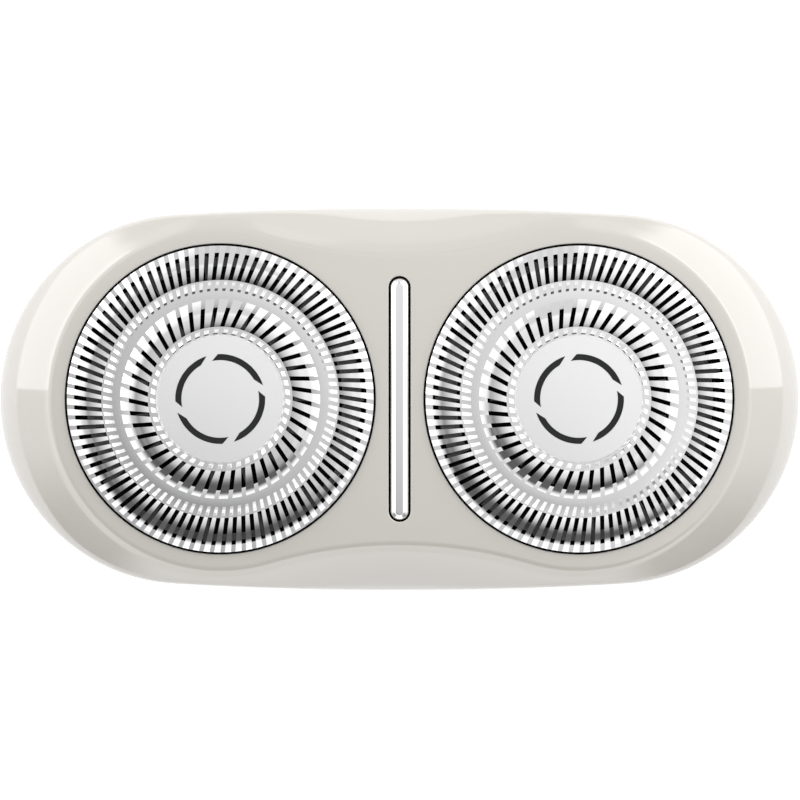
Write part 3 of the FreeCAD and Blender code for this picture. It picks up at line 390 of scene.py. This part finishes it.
GEAR = material(
    "gear_plastic", srgb(214, 213, 208), 0.45, grain=2500, shade=0.015, relief=0.003 * MM)
RUBBER = material(
    "seal_rubber", (0.015, 0.015, 0.015, 1), 0.7, grain=5000, shade=0.15, relief=0.006 * MM)
STEEL = material(
    "plain_steel", (0.62, 0.62, 0.63, 1), 0.28, metallic=1.0, grain=4000, stretch=(1, 1, 10),
    spread=0.3, shade=0.03)
MAGNET = material(
    "magnet_plate", (0.7, 0.7, 0.71, 1), 0.2, metallic=1.0, grain=3000, spread=0.2, shade=0.02)


# Meshes

def mesh_object(name, points, faces, look, sharp_angle=SHARP_PLAIN):
    """An object from points and faces, with its normals outwards and smooth shading."""
    mesh = bpy.data.meshes.new(name)
    mesh.from_pydata([tuple(p) for p in points], [], faces)
    mesh.validate()
    obj = bpy.data.objects.new(name, mesh)
    bpy.context.scene.collection.objects.link(obj)
    clean = bmesh.new()
    clean.from_mesh(mesh)
    bmesh.ops.recalc_face_normals(clean, faces=clean.faces)
    clean.to_mesh(mesh)
    clean.free()
    soften(obj, sharp_angle)
    mesh.materials.append(look)
    return obj


def soften(obj, angle):
    """Smooth shading, apart from edges sharper than the angle in degrees."""
    work = bmesh.new()
    work.from_mesh(obj.data)
    for face in work.faces:
        face.smooth = True
    for edge in work.edges:
        turn = edge.calc_face_angle(math.pi)
        edge.smooth = len(edge.link_faces) == 2 and turn < math.radians(angle)
    work.to_mesh(obj.data)
    work.free()


class Shell:
    """Points and faces gathered from loops of points."""

    def __init__(self):
        self.points = []
        self.faces = []

    def loop(self, points):
        first = len(self.points)
        self.points += points
        return list(range(first, len(self.points)))

    def band(self, a, b):
        """Joins two closed loops of as many points."""
        count = len(a)
        for i in range(count):
            j = (i + 1) % count
            self.faces.append((a[i], a[j], b[j], b[i]))

    def bands(self, loops):
        for a, b in zip(loops, loops[1:]):
            self.band(a, b)

    def fill(self, *loops):
        """A flat face with holes, between closed loops of points."""
        work = bmesh.new()
        spots = {}
        edges = []
        for loop in loops:
            corners = [work.verts.new(self.points[i]) for i in loop]
            spots.update(zip(corners, loop))
            edges += [work.edges.new(pair) for pair in zip(corners, corners[1:] + corners[:1])]
        made = bmesh.ops.triangle_fill(work, edges=edges, use_beauty=True)["geom"]
        for face in (item for item in made if isinstance(item, bmesh.types.BMFace)):
            self.faces.append(tuple(spots[corner] for corner in face.verts))
        work.free()

    def prism(self, outline, low, high):
        """A closed outline of (x, y) points, raised from one height to another."""
        ends = [self.loop([(x, y, z) for x, y in outline]) for z in (low, high)]
        self.bands(ends)
        for end in ends:
            self.fill(end)


def circle_loop(radius, x, z, steps=CIRCLE_STEPS):
    """Points round (x, 0) at a height."""
    turns = [2 * math.pi * i / steps for i in range(steps)]
    return [(x + radius * math.cos(turn), radius * math.sin(turn), z) for turn in turns]


def arc_points(centre, radius, start, end, steps):
    """Points on an arc about (centre, 0), from one angle in degrees to another."""
    turns = [math.radians(start + (end - start) * i / steps) for i in range(steps + 1)]
    return [(centre + radius * math.cos(turn), radius * math.sin(turn)) for turn in turns]


def turned(name, sections, look, centre):
    """One mesh of closed rings, each turned from a list of (radius, height) corners."""
    shell = Shell()
    for corners in sections:
        rings = [shell.loop(circle_loop(radius, centre, z)) for radius, z in corners]
        shell.bands(rings + rings[:1])
    return mesh_object(name, shell.points, shell.faces, look)


# Head cover

def crest_points():
    """Points round the plateau's waisted edge, each with its outward direction."""
    meet = math.atan2(WAIST_CENTRE, HALF_PITCH)
    round_disc = 2 * (math.pi - meet)
    round_waist = math.pi - 2 * meet
    # Each arc's centre, radius, side of the outward direction, start, sweep and steps
    arcs = (
        ((HALF_PITCH, 0.0), PLATEAU_RADIUS, 1, meet - math.pi, round_disc, SECTOR_STEPS),
        ((0.0, WAIST_CENTRE), WAIST_RADIUS, -1, 2 * math.pi - meet, -round_waist, WAIST_STEPS),
        ((-HALF_PITCH, 0.0), PLATEAU_RADIUS, 1, meet, round_disc, SECTOR_STEPS),
        ((0.0, -WAIST_CENTRE), WAIST_RADIUS, -1, math.pi - meet, -round_waist, WAIST_STEPS),
    )
    crest = []
    for (x, y), radius, outward, start, sweep, steps in arcs:
        for i in range(steps):
            turn = start + sweep * i / steps
            dx, dy = math.cos(turn), math.sin(turn)
            crest.append(((x + radius * dx, y + radius * dy), (outward * dx, outward * dy)))
    return crest


def inside_outline(x, y, inset=0.0):
    """Positive where a point lies inside the head's outline."""
    side_y = abs(y) + SIDE_RADIUS - HALF_WIDTH
    if abs(x) * (SIDE_RADIUS - HALF_WIDTH) > TIP_X * side_y:
        return (TIP_RADIUS - inset) - math.hypot(abs(x) - TIP_X, y)
    return (SIDE_RADIUS - inset) - math.hypot(x, side_y)


def reach_to_outline(spot, direction, inset=0.0):
    """How far the outline lies from a point along a direction."""
    near, far = REACH_SPAN
    for _ in range(REACH_HALVINGS):
        middle = (near + far) / 2
        x, y = (start + part * middle for start, part in zip(spot, direction))
        if inside_outline(x, y, inset) > 0:
            near = middle
        else:
            far = middle
    return near


SLOPE_CHORD = math.hypot(SLOPE_REACH, SLOPE_DROP)
SLOPE_DEPTH = math.sqrt(SLOPE_CURVE ** 2 - SLOPE_CHORD ** 2 / 4)
SLOPE_CENTRE = (
    SLOPE_REACH / 2 - SLOPE_DROP * SLOPE_DEPTH / SLOPE_CHORD,
    -SLOPE_DROP / 2 - SLOPE_REACH * SLOPE_DEPTH / SLOPE_CHORD,
)


def slope_fall(distance):
    """Fall of the domed slope at a distance outside the crest."""
    across = min(distance, SLOPE_REACH) - SLOPE_CENTRE[0]
    return -(SLOPE_CENTRE[1] + math.sqrt(SLOPE_CURVE ** 2 - across ** 2))


def rounded_fall(distance):
    """The slope's fall with its crest rounded over."""
    if distance >= CREST_ROUND:
        return slope_fall(distance)
    span = 2 * CREST_ROUND
    share = (distance + CREST_ROUND) / span
    end = slope_fall(CREST_ROUND)
    end_slope = (slope_fall(CREST_ROUND + SLOPE_PROBE) - end) / SLOPE_PROBE
    return end * share ** 2 * (3 - 2 * share) + end_slope * span * share ** 2 * (share - 1)


def rounded_bar_loop(length, width, z):
    """A closed outline with half-round ends, long along Y."""
    radius = width / 2
    reach = (length - width) / 2
    spots = []
    for start, side in ((0.0, 1), (math.pi, -1)):
        for i in range(BAR_END_STEPS + 1):
            turn = start + math.pi * i / BAR_END_STEPS
            spots.append((radius * math.cos(turn), side * reach + radius * math.sin(turn), z))
    return spots


def crest_loop(shell, crest, distances, heights):
    """A closed loop at distances outside the crest."""
    return shell.loop([
        (x + dx * distance, y + dy * distance, z)
        for ((x, y), (dx, dy)), distance, z in zip(crest, distances, heights)
    ])


def cover_loops(shell, crest):
    """Closed loops of the cover's outside, from the plateau's edge down to the parting line."""
    reaches = [reach_to_outline(spot, direction) for spot, direction in crest]
    edges = [reach - EDGE_ROUND for reach in reaches]
    starts = [min(CREST_ROUND, edge) for edge in edges]

    def on_slope(distances):
        heights = [PLATEAU_Z - rounded_fall(distance) for distance in distances]
        return crest_loop(shell, crest, distances, heights)

    loops = []
    for i in range(CREST_STEPS + 1):
        level = -CREST_ROUND + 2 * CREST_ROUND * i / CREST_STEPS
        loops.append(on_slope([min(level, edge) for edge in edges]))
    for i in range(1, SLOPE_STEPS + 1):
        share = i / SLOPE_STEPS
        distances = [start + (edge - start) * share for start, edge in zip(starts, edges)]
        loops.append(on_slope(distances))
    falls = [rounded_fall(edge) for edge in edges]
    tilts = [
        (rounded_fall(edge + SLOPE_PROBE) - fall) / SLOPE_PROBE for edge, fall in zip(edges, falls)]
    for i in range(1, EDGE_STEPS + 1):
        turn = math.pi / 2 * i / EDGE_STEPS
        out, down = EDGE_ROUND * math.sin(turn), EDGE_ROUND * (1 - math.cos(turn))
        heights = [PLATEAU_Z - fall - down - tilt * out for fall, tilt in zip(falls, tilts)]
        loops.append(crest_loop(shell, crest, [edge + out for edge in edges], heights))
    loops.append(crest_loop(shell, crest, reaches, [PARTING_Z] * len(crest)))
    return loops


def make_cover():
    shell = Shell()
    crest = crest_points()
    loops = cover_loops(shell, crest)
    shell.bands(loops)

    def opening(points_at):
        """Loops of an opening's rounded edge and wall, from the face down to the ceiling."""
        rings = [shell.loop(points_at(OPENING_ROUND + OPENING_FLAT, PLATEAU_Z))]
        for i in range(ROUND_STEPS + 1):
            turn = math.pi / 2 * i / ROUND_STEPS
            grow = OPENING_ROUND * (1 - math.sin(turn))
            drop = OPENING_ROUND * (1 - math.cos(turn))
            rings.append(shell.loop(points_at(grow, PLATEAU_Z - drop)))
        rings.append(shell.loop(points_at(0, CEILING_Z)))
        shell.bands(rings)
        return rings[0], rings[-1]

    mouths = [
        opening(lambda grow, z: circle_loop(OPENING_RADIUS + grow, side * HALF_PITCH, z))
        for _, side in SIDES
    ]
    mouths.append(opening(
        lambda grow, z: rounded_bar_loop(SLOT_LENGTH + 2 * grow, SLOT_WIDTH + 2 * grow, z)))
    shell.fill(loops[0], *[top for top, _ in mouths])

    def inner_loop(distances, z):
        return crest_loop(shell, crest, distances, [z] * len(crest))

    seat = [-SEAT_INSET] * len(crest)
    cavity = [reach_to_outline(spot, direction, COVER_WALL) for spot, direction in crest]
    inside = [
        inner_loop(seat, CEILING_Z), inner_loop(seat, CAVITY_Z),
        inner_loop(cavity, CAVITY_Z), inner_loop(cavity, PARTING_Z),
    ]
    shell.fill(inside[0], *[bottom for _, bottom in mouths])
    shell.bands(inside + loops[-1:])
    cover = mesh_object("cover_shell", shell.points, shell.faces, COVER, SHARP_COVER)
    crown_face(cover)
    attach(cover, "cover")
    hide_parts("head_cover")


def crown_face(cover):
    """Normals of the cover's flat face lean to its sides, as on a faintly crowned face."""
    mesh = cover.data
    normals = [Vector(corner.vector) for corner in mesh.corner_normals]
    level = {i for i, vertex in enumerate(mesh.vertices) if vertex.co.z > PLATEAU_Z - TINY}
    for face in mesh.polygons:
        for corner, vertex in zip(face.loop_indices, face.vertices):
            if vertex in level and face.normal.z > FACING_UP:
                lean = mesh.vertices[vertex].co.y * FACE_CROWN
                normals[corner] = Vector((0, lean, 1)).normalized()
    mesh.normals_split_custom_set([tuple(normal) for normal in normals])


# Comb discs

def rib_profile(track):
    """Radii and top heights along a rib from the rim inwards: crown, notch and sloping bead."""
    rim_run = track["rim"] - track["crest"]
    curve = rim_run / math.sin(math.radians(track["rim_tilt"]))
    stations = []
    for i in range(CROWN_STEPS + 1):
        radius = track["rim"] + (track["channel_in"] - track["rim"]) * i / CROWN_STEPS
        away = radius - track["crest"]
        stations.append((radius, COMB_TOP_Z - curve + math.sqrt(curve ** 2 - away ** 2)))
    rise = (track["bead_out"] - track["bead_top"]) * math.tan(math.radians(BEAD_OUT_TILT))
    fall = (track["bead_top"] - track["foot"]) * math.tan(math.radians(BEAD_IN_TILT))
    bead_out = COMB_FLOOR_Z + BEAD_FOOT
    bead_top = bead_out + rise
    bead_in = bead_top - fall
    stations += [
        (track["channel_in"] - NOTCH_WALL, bead_out), (track["bead_out"], bead_out),
        (track["bead_top"], bead_top), (track["foot"], bead_in),
    ]
    return stations


def rib_side(track, number, edge, radius):
    """Angle of a rib's side at a radius: edge -1 follows one slot and edge 1 the next."""
    pitch = 2 * math.pi / track["count"]
    turn = math.radians(track["turn"]) + pitch * (number + (edge + 1) / 2)
    offset = SLOT_LEAN - edge * RIB_GAP / 2
    return turn + math.asin(offset / radius)


def add_ribs(shell, track, centre):
    stations = rib_profile(track)
    sunk_z = COMB_FLOOR_Z - RIB_SUNK
    for number in range(track["count"]):
        rows = []
        for radius, top_z in stations:
            in_channel = track["channel_in"] < radius < track["channel_out"]
            bottom_z = COMB_CEILING_Z if in_channel else sunk_z
            low = rib_side(track, number, -1, radius)
            high = rib_side(track, number, 1, radius)
            corners = ((low, bottom_z), (low, top_z), (high, top_z), (high, bottom_z))
            rows.append(shell.loop([
                (centre + radius * math.cos(turn), radius * math.sin(turn), z)
                for turn, z in corners
            ]))
        shell.bands(rows)
        shell.faces.append(tuple(rows[0]))
        shell.faces.append(tuple(reversed(rows[-1])))


def make_comb(side, sign):
    centre = sign * HALF_PITCH
    ribs = Shell()
    add_ribs(ribs, OUTER_TRACK, centre)
    add_ribs(ribs, INNER_TRACK, centre)
    bars = mesh_object(f"{side}_comb_ribs", ribs.points, ribs.faces, CHROME, SHARP_RIBS)
    skirt = [
        (OUTER_TRACK["channel_out"], FLANGE_BOTTOM_Z), (FLANGE_RADIUS, FLANGE_BOTTOM_Z),
        (FLANGE_RADIUS, FLANGE_TOP_Z), (COMB_RADIUS, FLANGE_TOP_Z), (COMB_RADIUS, COMB_FLOOR_Z),
        (OUTER_TRACK["channel_out"], COMB_FLOOR_Z),
    ]
    middle = [
        (INNER_TRACK["channel_out"], WEB_BOTTOM_Z), (OUTER_TRACK["channel_in"], WEB_BOTTOM_Z),
        (OUTER_TRACK["channel_in"], COMB_FLOOR_Z), (OUTER_TRACK["foot"], COMB_FLOOR_Z),
        (INNER_TRACK["rim"], COMB_FLOOR_Z + MIDDLE_RISE),
        (INNER_TRACK["channel_out"], COMB_FLOOR_Z),
    ]
    heart = [
        (HEART_RADIUS, WEB_BOTTOM_Z), (INNER_TRACK["channel_in"], WEB_BOTTOM_Z),
        (INNER_TRACK["channel_in"], COMB_FLOOR_Z), (HEART_RADIUS, COMB_FLOOR_Z),
    ]
    plate = turned(f"{side}_comb_plate", [skirt, middle, heart], SATIN, centre)
    # Skirt and flange faces that show down the gap round the disc get the black plastic: painted
    # shade in the gap
    plate.data.materials.append(BLACK)
    for face in plate.data.polygons:
        away = math.hypot(face.center.x - centre, face.center.y)
        if face.center.z < SKIRT_SHADE_Z and away > COMB_RADIUS * SKIRT_SHADE_SHARE:
            face.material_index = 1
    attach(bars, f"{side}_disc")
    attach(plate, f"{side}_disc")
    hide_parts(f"{side}_comb")


def make_marks(side, sign):
    """Dark inlays in the cap's four slanting arc recesses."""
    shell = Shell()
    centre = sign * HALF_PITCH
    outer = MARK_RADIUS + MARK_WIDTH / 2 - MARK_SIDE_GAP
    inner = MARK_RADIUS - MARK_WIDTH / 2 + MARK_SIDE_GAP
    for number in range(MARK_COUNT):
        turn = 360 / MARK_COUNT * number
        outline = arc_points(centre, outer, turn + MARK_OUTER[0], turn + MARK_OUTER[1], MARK_STEPS)
        outline += arc_points(centre, inner, turn + MARK_INNER[1], turn + MARK_INNER[0], MARK_STEPS)
        shell.prism(outline, MARK_BOTTOM_Z, MARK_TOP_Z)
    marks = mesh_object(f"{side}_cap_marks", shell.points, shell.faces, MARK, SHARP_INLAY)
    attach(marks, f"{side}_disc")


def crown_cap(side, sign):
    """Normals of a cap's flat top lean outwards, as on a faintly crowned face."""
    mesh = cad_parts[f"{side}_comb_cap"].data
    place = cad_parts[f"{side}_comb_cap"].matrix_world
    normals = [Vector(corner.vector) for corner in mesh.corner_normals]
    for face in mesh.polygons:
        if (place @ face.center).z < CAP_TOP_Z - TINY or face.normal.z < 1 - TINY:
            continue
        for corner, vertex in zip(face.loop_indices, face.vertices):
            spot = place @ mesh.vertices[vertex].co
            lean = Vector((spot.x - sign * HALF_PITCH, spot.y, 0)) * CAP_CROWN
            normals[corner] = (lean + Vector((0, 0, 1))).normalized()
    mesh.normals_split_custom_set([tuple(normal) for normal in normals])


def make_cutter_pads(side, sign):
    """Grey pads on the cutter disc, whose near-black is painted shade, seen through the outer
    slots.
    """
    shell = Shell()
    for near, far, start, end in CUTTER_PADS:
        arcs = arc_points(0.0, far, start, end, PAD_STEPS)
        arcs += arc_points(0.0, near, end, start, PAD_STEPS)
        outline = [(sign * (HALF_PITCH - x), -sign * y) for x, y in arcs]
        shell.prism(outline, DISC_TOP_Z, DISC_TOP_Z + PAD_THICKNESS)
    pads = mesh_object(f"{side}_cutter_pads", shell.points, shell.faces, CUTTER_PAD, SHARP_INLAY)
    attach(pads, f"{side}_cutter")


# Trim bar

def bar_rows(inset, half_width, reach):
    """Half widths of a rounded bar and their places along Y, from lower end to upper end."""
    radius = half_width - inset
    rows = []
    for i in range(BAR_END_STEPS + 1):
        turn = math.pi / 2 * (i / BAR_END_STEPS - 1)
        rows.append((radius * math.cos(turn), -reach + radius * math.sin(turn)))
    for i in range(1, BAR_SIDE_STEPS):
        rows.append((radius, -reach + 2 * reach * i / BAR_SIDE_STEPS))
    for i in range(BAR_END_STEPS + 1):
        turn = math.pi / 2 * i / BAR_END_STEPS
        rows.append((radius * math.cos(turn), reach + radius * math.sin(turn)))
    return rows


def bar_tilt(distance):
    """Tilt of the bar's top in degrees at a distance from its middle line."""
    for (near, low), (far, high) in zip(BAR_TILTS, BAR_TILTS[1:]):
        if distance <= far:
            return low + (high - low) * (distance - near) / (far - near)
    return BAR_TILTS[-1][1]


def bar_profile(half_width):
    """Distances from the middle line and drops of the bar's top, outwards."""
    first = BAR_TILTS[0][0]
    profile = [(first, 0.0)]
    drop = 0.0
    step = (half_width - first) / BAR_STEPS
    for i in range(BAR_STEPS):
        drop += step * math.tan(math.radians(bar_tilt(first + step * (i + 0.5))))
        profile.append((first + step * (i + 1), drop))
    return profile


def make_bar():
    """Trim bar with a flat top between shallow curved bevels, bowed a little along its length."""
    shell = Shell()
    half_width = SLOT_WIDTH / 2 - BAR_GAP
    reach = (SLOT_LENGTH - SLOT_WIDTH) / 2
    top_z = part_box("trim_bar")[1].z

    def level(distance, height_at):
        rows = bar_rows(half_width - distance, half_width, reach)
        right = [(x, y, height_at(y)) for x, y in rows]
        left = [(-x, y, height_at(y)) for x, y in rows[-2:0:-1]]
        return shell.loop(right + left)

    def flat(loop):
        """Closes a loop with strips from side to side."""
        count = len(loop)
        last = count // 2
        for i in range(last):
            places = (i, i + 1, (count - i - 1) % count, (count - i) % count)
            shell.faces.append(tuple(dict.fromkeys(loop[place] for place in places)))

    def bowed(drop):
        return lambda y: top_z - drop - BAR_BOW * (y / (reach + half_width)) ** 2

    loops = [level(distance, bowed(drop)) for distance, drop in bar_profile(half_width)]
    loops.append(level(half_width, lambda y: CEILING_Z))
    flat(loops[0])
    flat(loops[-1])
    shell.bands(loops)
    for peg_y in (PEG_Y, -PEG_Y):
        outline = [(x, y + peg_y) for x, y, _ in circle_loop(PEG_RADIUS, 0.0, 0.0, PEG_STEPS)]
        shell.prism(outline, CEILING_Z, CEILING_Z - PEG_LENGTH)
    bar = mesh_object("bar_polished", shell.points, shell.faces, TRIM, SHARP_BAR)
    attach(bar, "cover")
    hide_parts("trim_bar")


# Springs

def make_spring(side, sign):
    """Coil of round wire that fills the coupler spring's place."""
    low, high = (corner.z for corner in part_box(f"{side}_coupler_spring"))
    climb = high - low - SPRING_WIRE
    count = SPRING_TURNS * SPRING_STEPS
    shell = Shell()
    rings = []
    for i in range(count + 1):
        turn = 2 * math.pi * i / SPRING_STEPS
        centre_z = low + SPRING_WIRE / 2 + climb * i / count
        ring = []
        for j in range(WIRE_SIDES):
            round_turn = 2 * math.pi * j / WIRE_SIDES
            radius = SPRING_RADIUS + SPRING_WIRE / 2 * math.cos(round_turn)
            ring.append((
                sign * HALF_PITCH + radius * math.cos(turn), radius * math.sin(turn),
                centre_z + SPRING_WIRE / 2 * math.sin(round_turn),
            ))
        rings.append(shell.loop(ring))
    shell.bands(rings)
    shell.faces.append(tuple(rings[0]))
    shell.faces.append(tuple(reversed(rings[-1])))
    coil = mesh_object(f"{side}_spring_coil", shell.points, shell.faces, STEEL, SHARP_COIL)
    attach(coil, f"{side}_drive")
    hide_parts(f"{side}_coupler_spring")
    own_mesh(coil)


# Finishes of the solids that show as they are
FINISHES = {
    "base_shell": HOUSING, "bottom_plate": HOUSING, "base_gasket": RUBBER, "plate_screws": STEEL,
    "input_bush": GEAR, "base_magnets": MAGNET, "input_pinion": GEAR, "inner_frame": BLACK,
    "retaining_plate": BLACK, "cover_strike_plates": STEEL, "retainer_knob": GEAR,
}
SIDE_FINISHES = {
    "gear_axle": STEEL, "spindle_seal": RUBBER, "drive_gear": GEAR, "coupler": GEAR,
    "cutter_hub": BLACK, "cutter_blades": CUTTER, "comb_cap": CAP,
}


def finish_solids():
    """Finishes for the solids, with the cutters' discs painted near-black, darker than their
    blades: painted shade where the disc's windows show the dark inside.
    """
    looks = dict(FINISHES)
    for side, _ in SIDES:
        looks.update({f"{side}_{name}": look for name, look in SIDE_FINISHES.items()})
    for node, look in looks.items():
        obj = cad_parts[node]
        obj.data.materials.clear()
        obj.data.materials.append(look)
        soften(obj, SHARP_SOLID)
    for side, _ in SIDES:
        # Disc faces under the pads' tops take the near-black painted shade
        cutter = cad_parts[f"{side}_cutter_blades"]
        cutter.data.materials.append(CUTTER_DISC_SHADE)
        for face in cutter.data.polygons:
            if (cutter.matrix_world @ face.center).z < DISC_TOP_Z + PAD_THICKNESS:
                face.material_index = 1


# Light and surroundings

def make_world():
    """A plain white surrounding, seen by the camera."""
    world = bpy.data.worlds.new("surrounding")
    bpy.context.scene.world = world
    world.use_nodes = True
    world.node_tree.nodes["Background"].inputs[0].default_value = (1, 1, 1, 1)


def studio_look():
    """Radiance of the dome: grey overhead, white walls, a dark flag in front, boxes low down."""
    look, nodes = bare_material("studio_dome")
    maths = nodes.maths
    x, y, z = nodes.place()
    level = maths("MAXIMUM", nodes.length(x, y), TINY)
    tilt = maths("MULTIPLY", maths("ARCTAN2", level, z), math.degrees(1))
    eastward = maths("DIVIDE", x, level)
    bearing = maths("DIVIDE", y, level)
    east = maths("MULTIPLY", tilt, eastward)
    north = maths("MULTIPLY", tilt, bearing)

    def toward(facing):
        """The part of the tilt towards a direction, in degrees from east by way of north."""
        turn = math.radians(facing)
        shares = maths("MULTIPLY", east, math.cos(turn)), maths("MULTIPLY", north, math.sin(turn))
        return maths("ADD", *shares)

    def rise(value, low, high):
        """From 0 to 1 between two values."""
        made = nodes.add("ShaderNodeMapRange", interpolation_type="SMOOTHSTEP")
        nodes.feed(made.inputs["Value"], value)
        made.inputs["From Min"].default_value = low
        made.inputs["From Max"].default_value = high
        return made.outputs["Result"]

    def fall(value, low, high):
        """From 1 to 0 between two values."""
        return maths("SUBTRACT", 1.0, rise(value, low, high))

    def within(value, low_from, low_to, high_from, high_to):
        """1 between two soft edges."""
        return maths("MULTIPLY", rise(value, low_from, low_to), fall(value, high_from, high_to))

    def blend(share, a, b):
        made = nodes.add("ShaderNodeMix", data_type="FLOAT")
        for index, value in ((0, share), (2, a), (3, b)):
            nodes.feed(made.inputs[index], value)
        return made.outputs[0]

    overhead = maths("ADD", maths("MULTIPLY", toward(OVERHEAD_FACING), OVERHEAD_SLOPE), OVERHEAD)
    overhead = maths("MINIMUM", maths("MAXIMUM", overhead, OVERHEAD_RANGE[0]), OVERHEAD_RANGE[1])
    light = blend(rise(tilt, *WALL_TILT), overhead, WALL)
    forward = rise(toward(FLAG_FACING), *FLAG_EDGES)
    flag_sides = maths("MULTIPLY", forward, rise(east, *FLAG_LEFT_EDGE))
    front = rise(tilt, *FRONT_TILT)
    # Zones from the first laid to the last: two soft masks and the radiance inside both
    zones = (
        (within(tilt, *EAST_PANEL_TILT), rise(eastward, *EAST_PANEL_EASTWARD), EAST_PANEL),
        (within(east, *BACK_STRIP_EAST), rise(north, *BACK_STRIP_NORTH), BACK_STRIP),
        (flag_sides, fall(tilt, *FLAG_LOW_EDGE), FLAG),
        (front, rise(bearing, *FRONT_CORNERS_BEARING), FRONT_CORNERS),
        (front, rise(bearing, *FRONT_MIDDLE_BEARING), FRONT_MIDDLE),
        (rise(tilt, *END_BOX_TILT), within(bearing, *END_BOX_BEARING), END_BOX),
        (rise(tilt, *BACK_BOX_TILT), rise(bearing, *BACK_BOX_BEARING), BACK_BOX),
    )
    for one_mask, other_mask, radiance in zones:
        light = blend(maths("MULTIPLY", one_mask, other_mask), light, radiance)
    crest = maths("MULTIPLY", within(tilt, *CREST_TILT), within(bearing, *CREST_BEARING))
    light = maths("ADD", light, maths("MULTIPLY", crest, CREST_GLINT))
    glow = nodes.add("ShaderNodeEmission")
    nodes.feed(glow.inputs["Strength"], light)
    nodes.feed(nodes.add("ShaderNodeOutputMaterial").inputs[0], glow.outputs[0])
    return look


def make_studio():
    """The dome that lights the head and shows in its chrome, and a lamp that chrome won't show."""
    shell = Shell()
    rings = []
    for i in range(DOME_RINGS):
        tilt = math.pi / 2 * (1 - i / DOME_RINGS)
        radius = DOME_RADIUS * math.sin(tilt)
        rings.append(shell.loop(circle_loop(radius, 0.0, DOME_RADIUS * math.cos(tilt), DOME_STEPS)))
    shell.bands(rings)
    shell.faces.append(tuple(rings[-1]))
    dome = mesh_object("studio_dome", shell.points, shell.faces, studio_look())
    dome.location = DOME_CENTRE
    dome.visible_camera = False
    lamp_data = bpy.data.lights.new("key_lamp", "AREA")
    lamp_data.size = LAMP_SIZE
    lamp_data.energy = LAMP_POWER
    lamp = bpy.data.objects.new("key_lamp", lamp_data)
    lamp.location = LAMP_PLACE
    lamp.rotation_euler = (-Vector(LAMP_PLACE)).to_track_quat("-Z", "Y").to_euler()
    lamp.visible_camera = False
    lamp.visible_glossy = False
    bpy.context.scene.collection.objects.link(lamp)


def make_floor():
    """A plain pale floor, white to the camera, which keeps the head's shadow."""
    look, nodes = bare_material("pale_floor")
    rays = nodes.add("ShaderNodeLightPath")
    seen = nodes.maths("MAXIMUM", rays.outputs["Is Camera Ray"], rays.outputs["Is Glossy Ray"])
    seen = nodes.maths("MAXIMUM", seen, rays.outputs["Is Transmission Ray"])
    diffuse = nodes.add("ShaderNodeBsdfDiffuse")
    diffuse.inputs[0].default_value = FLOOR_COLOUR
    glow = nodes.add("ShaderNodeEmission")
    nodes.feed(glow.inputs["Strength"], nodes.maths("MULTIPLY", seen, FLOOR_LIFT))
    both = nodes.add("ShaderNodeAddShader")
    nodes.feed(both.inputs[0], diffuse.outputs[0])
    nodes.feed(both.inputs[1], glow.outputs[0])
    nodes.feed(nodes.add("ShaderNodeOutputMaterial").inputs[0], both.outputs[0])
    signs = ((-1, -1), (1, -1), (1, 1), (-1, 1))
    corners = [(x * FLOOR_HALF, y * FLOOR_HALF, FLOOR_Z) for x, y in signs]
    floor = mesh_object("floor", corners, [(0, 1, 2, 3)], look)


def make_camera():
    """Camera straight above, its picture's width set at the height between outline and discs."""
    data = bpy.data.cameras.new("camera")
    data.sensor_width = SENSOR_WIDTH
    rim_height = (PARTING_Z + COMB_TOP_Z) / 2
    data.lens = SENSOR_WIDTH * (CAMERA_HEIGHT - rim_height) / VIEW_WIDTH
    data.clip_start = CAMERA_NEAR
    camera = bpy.data.objects.new("camera", data)
    camera.location = VIEW_CENTRE + Vector((0, 0, CAMERA_HEIGHT))
    bpy.context.scene.collection.objects.link(camera)
    bpy.context.scene.camera = camera


bpy.context.scene.view_settings.view_transform = "Standard"
finish_solids()
make_cover()
for side, sign in SIDES:
    make_comb(side, sign)
    make_marks(side, sign)
    crown_cap(side, sign)
    make_cutter_pads(side, sign)
    make_spring(side, sign)
make_bar()
make_world()
make_studio()
make_floor()
make_camera()
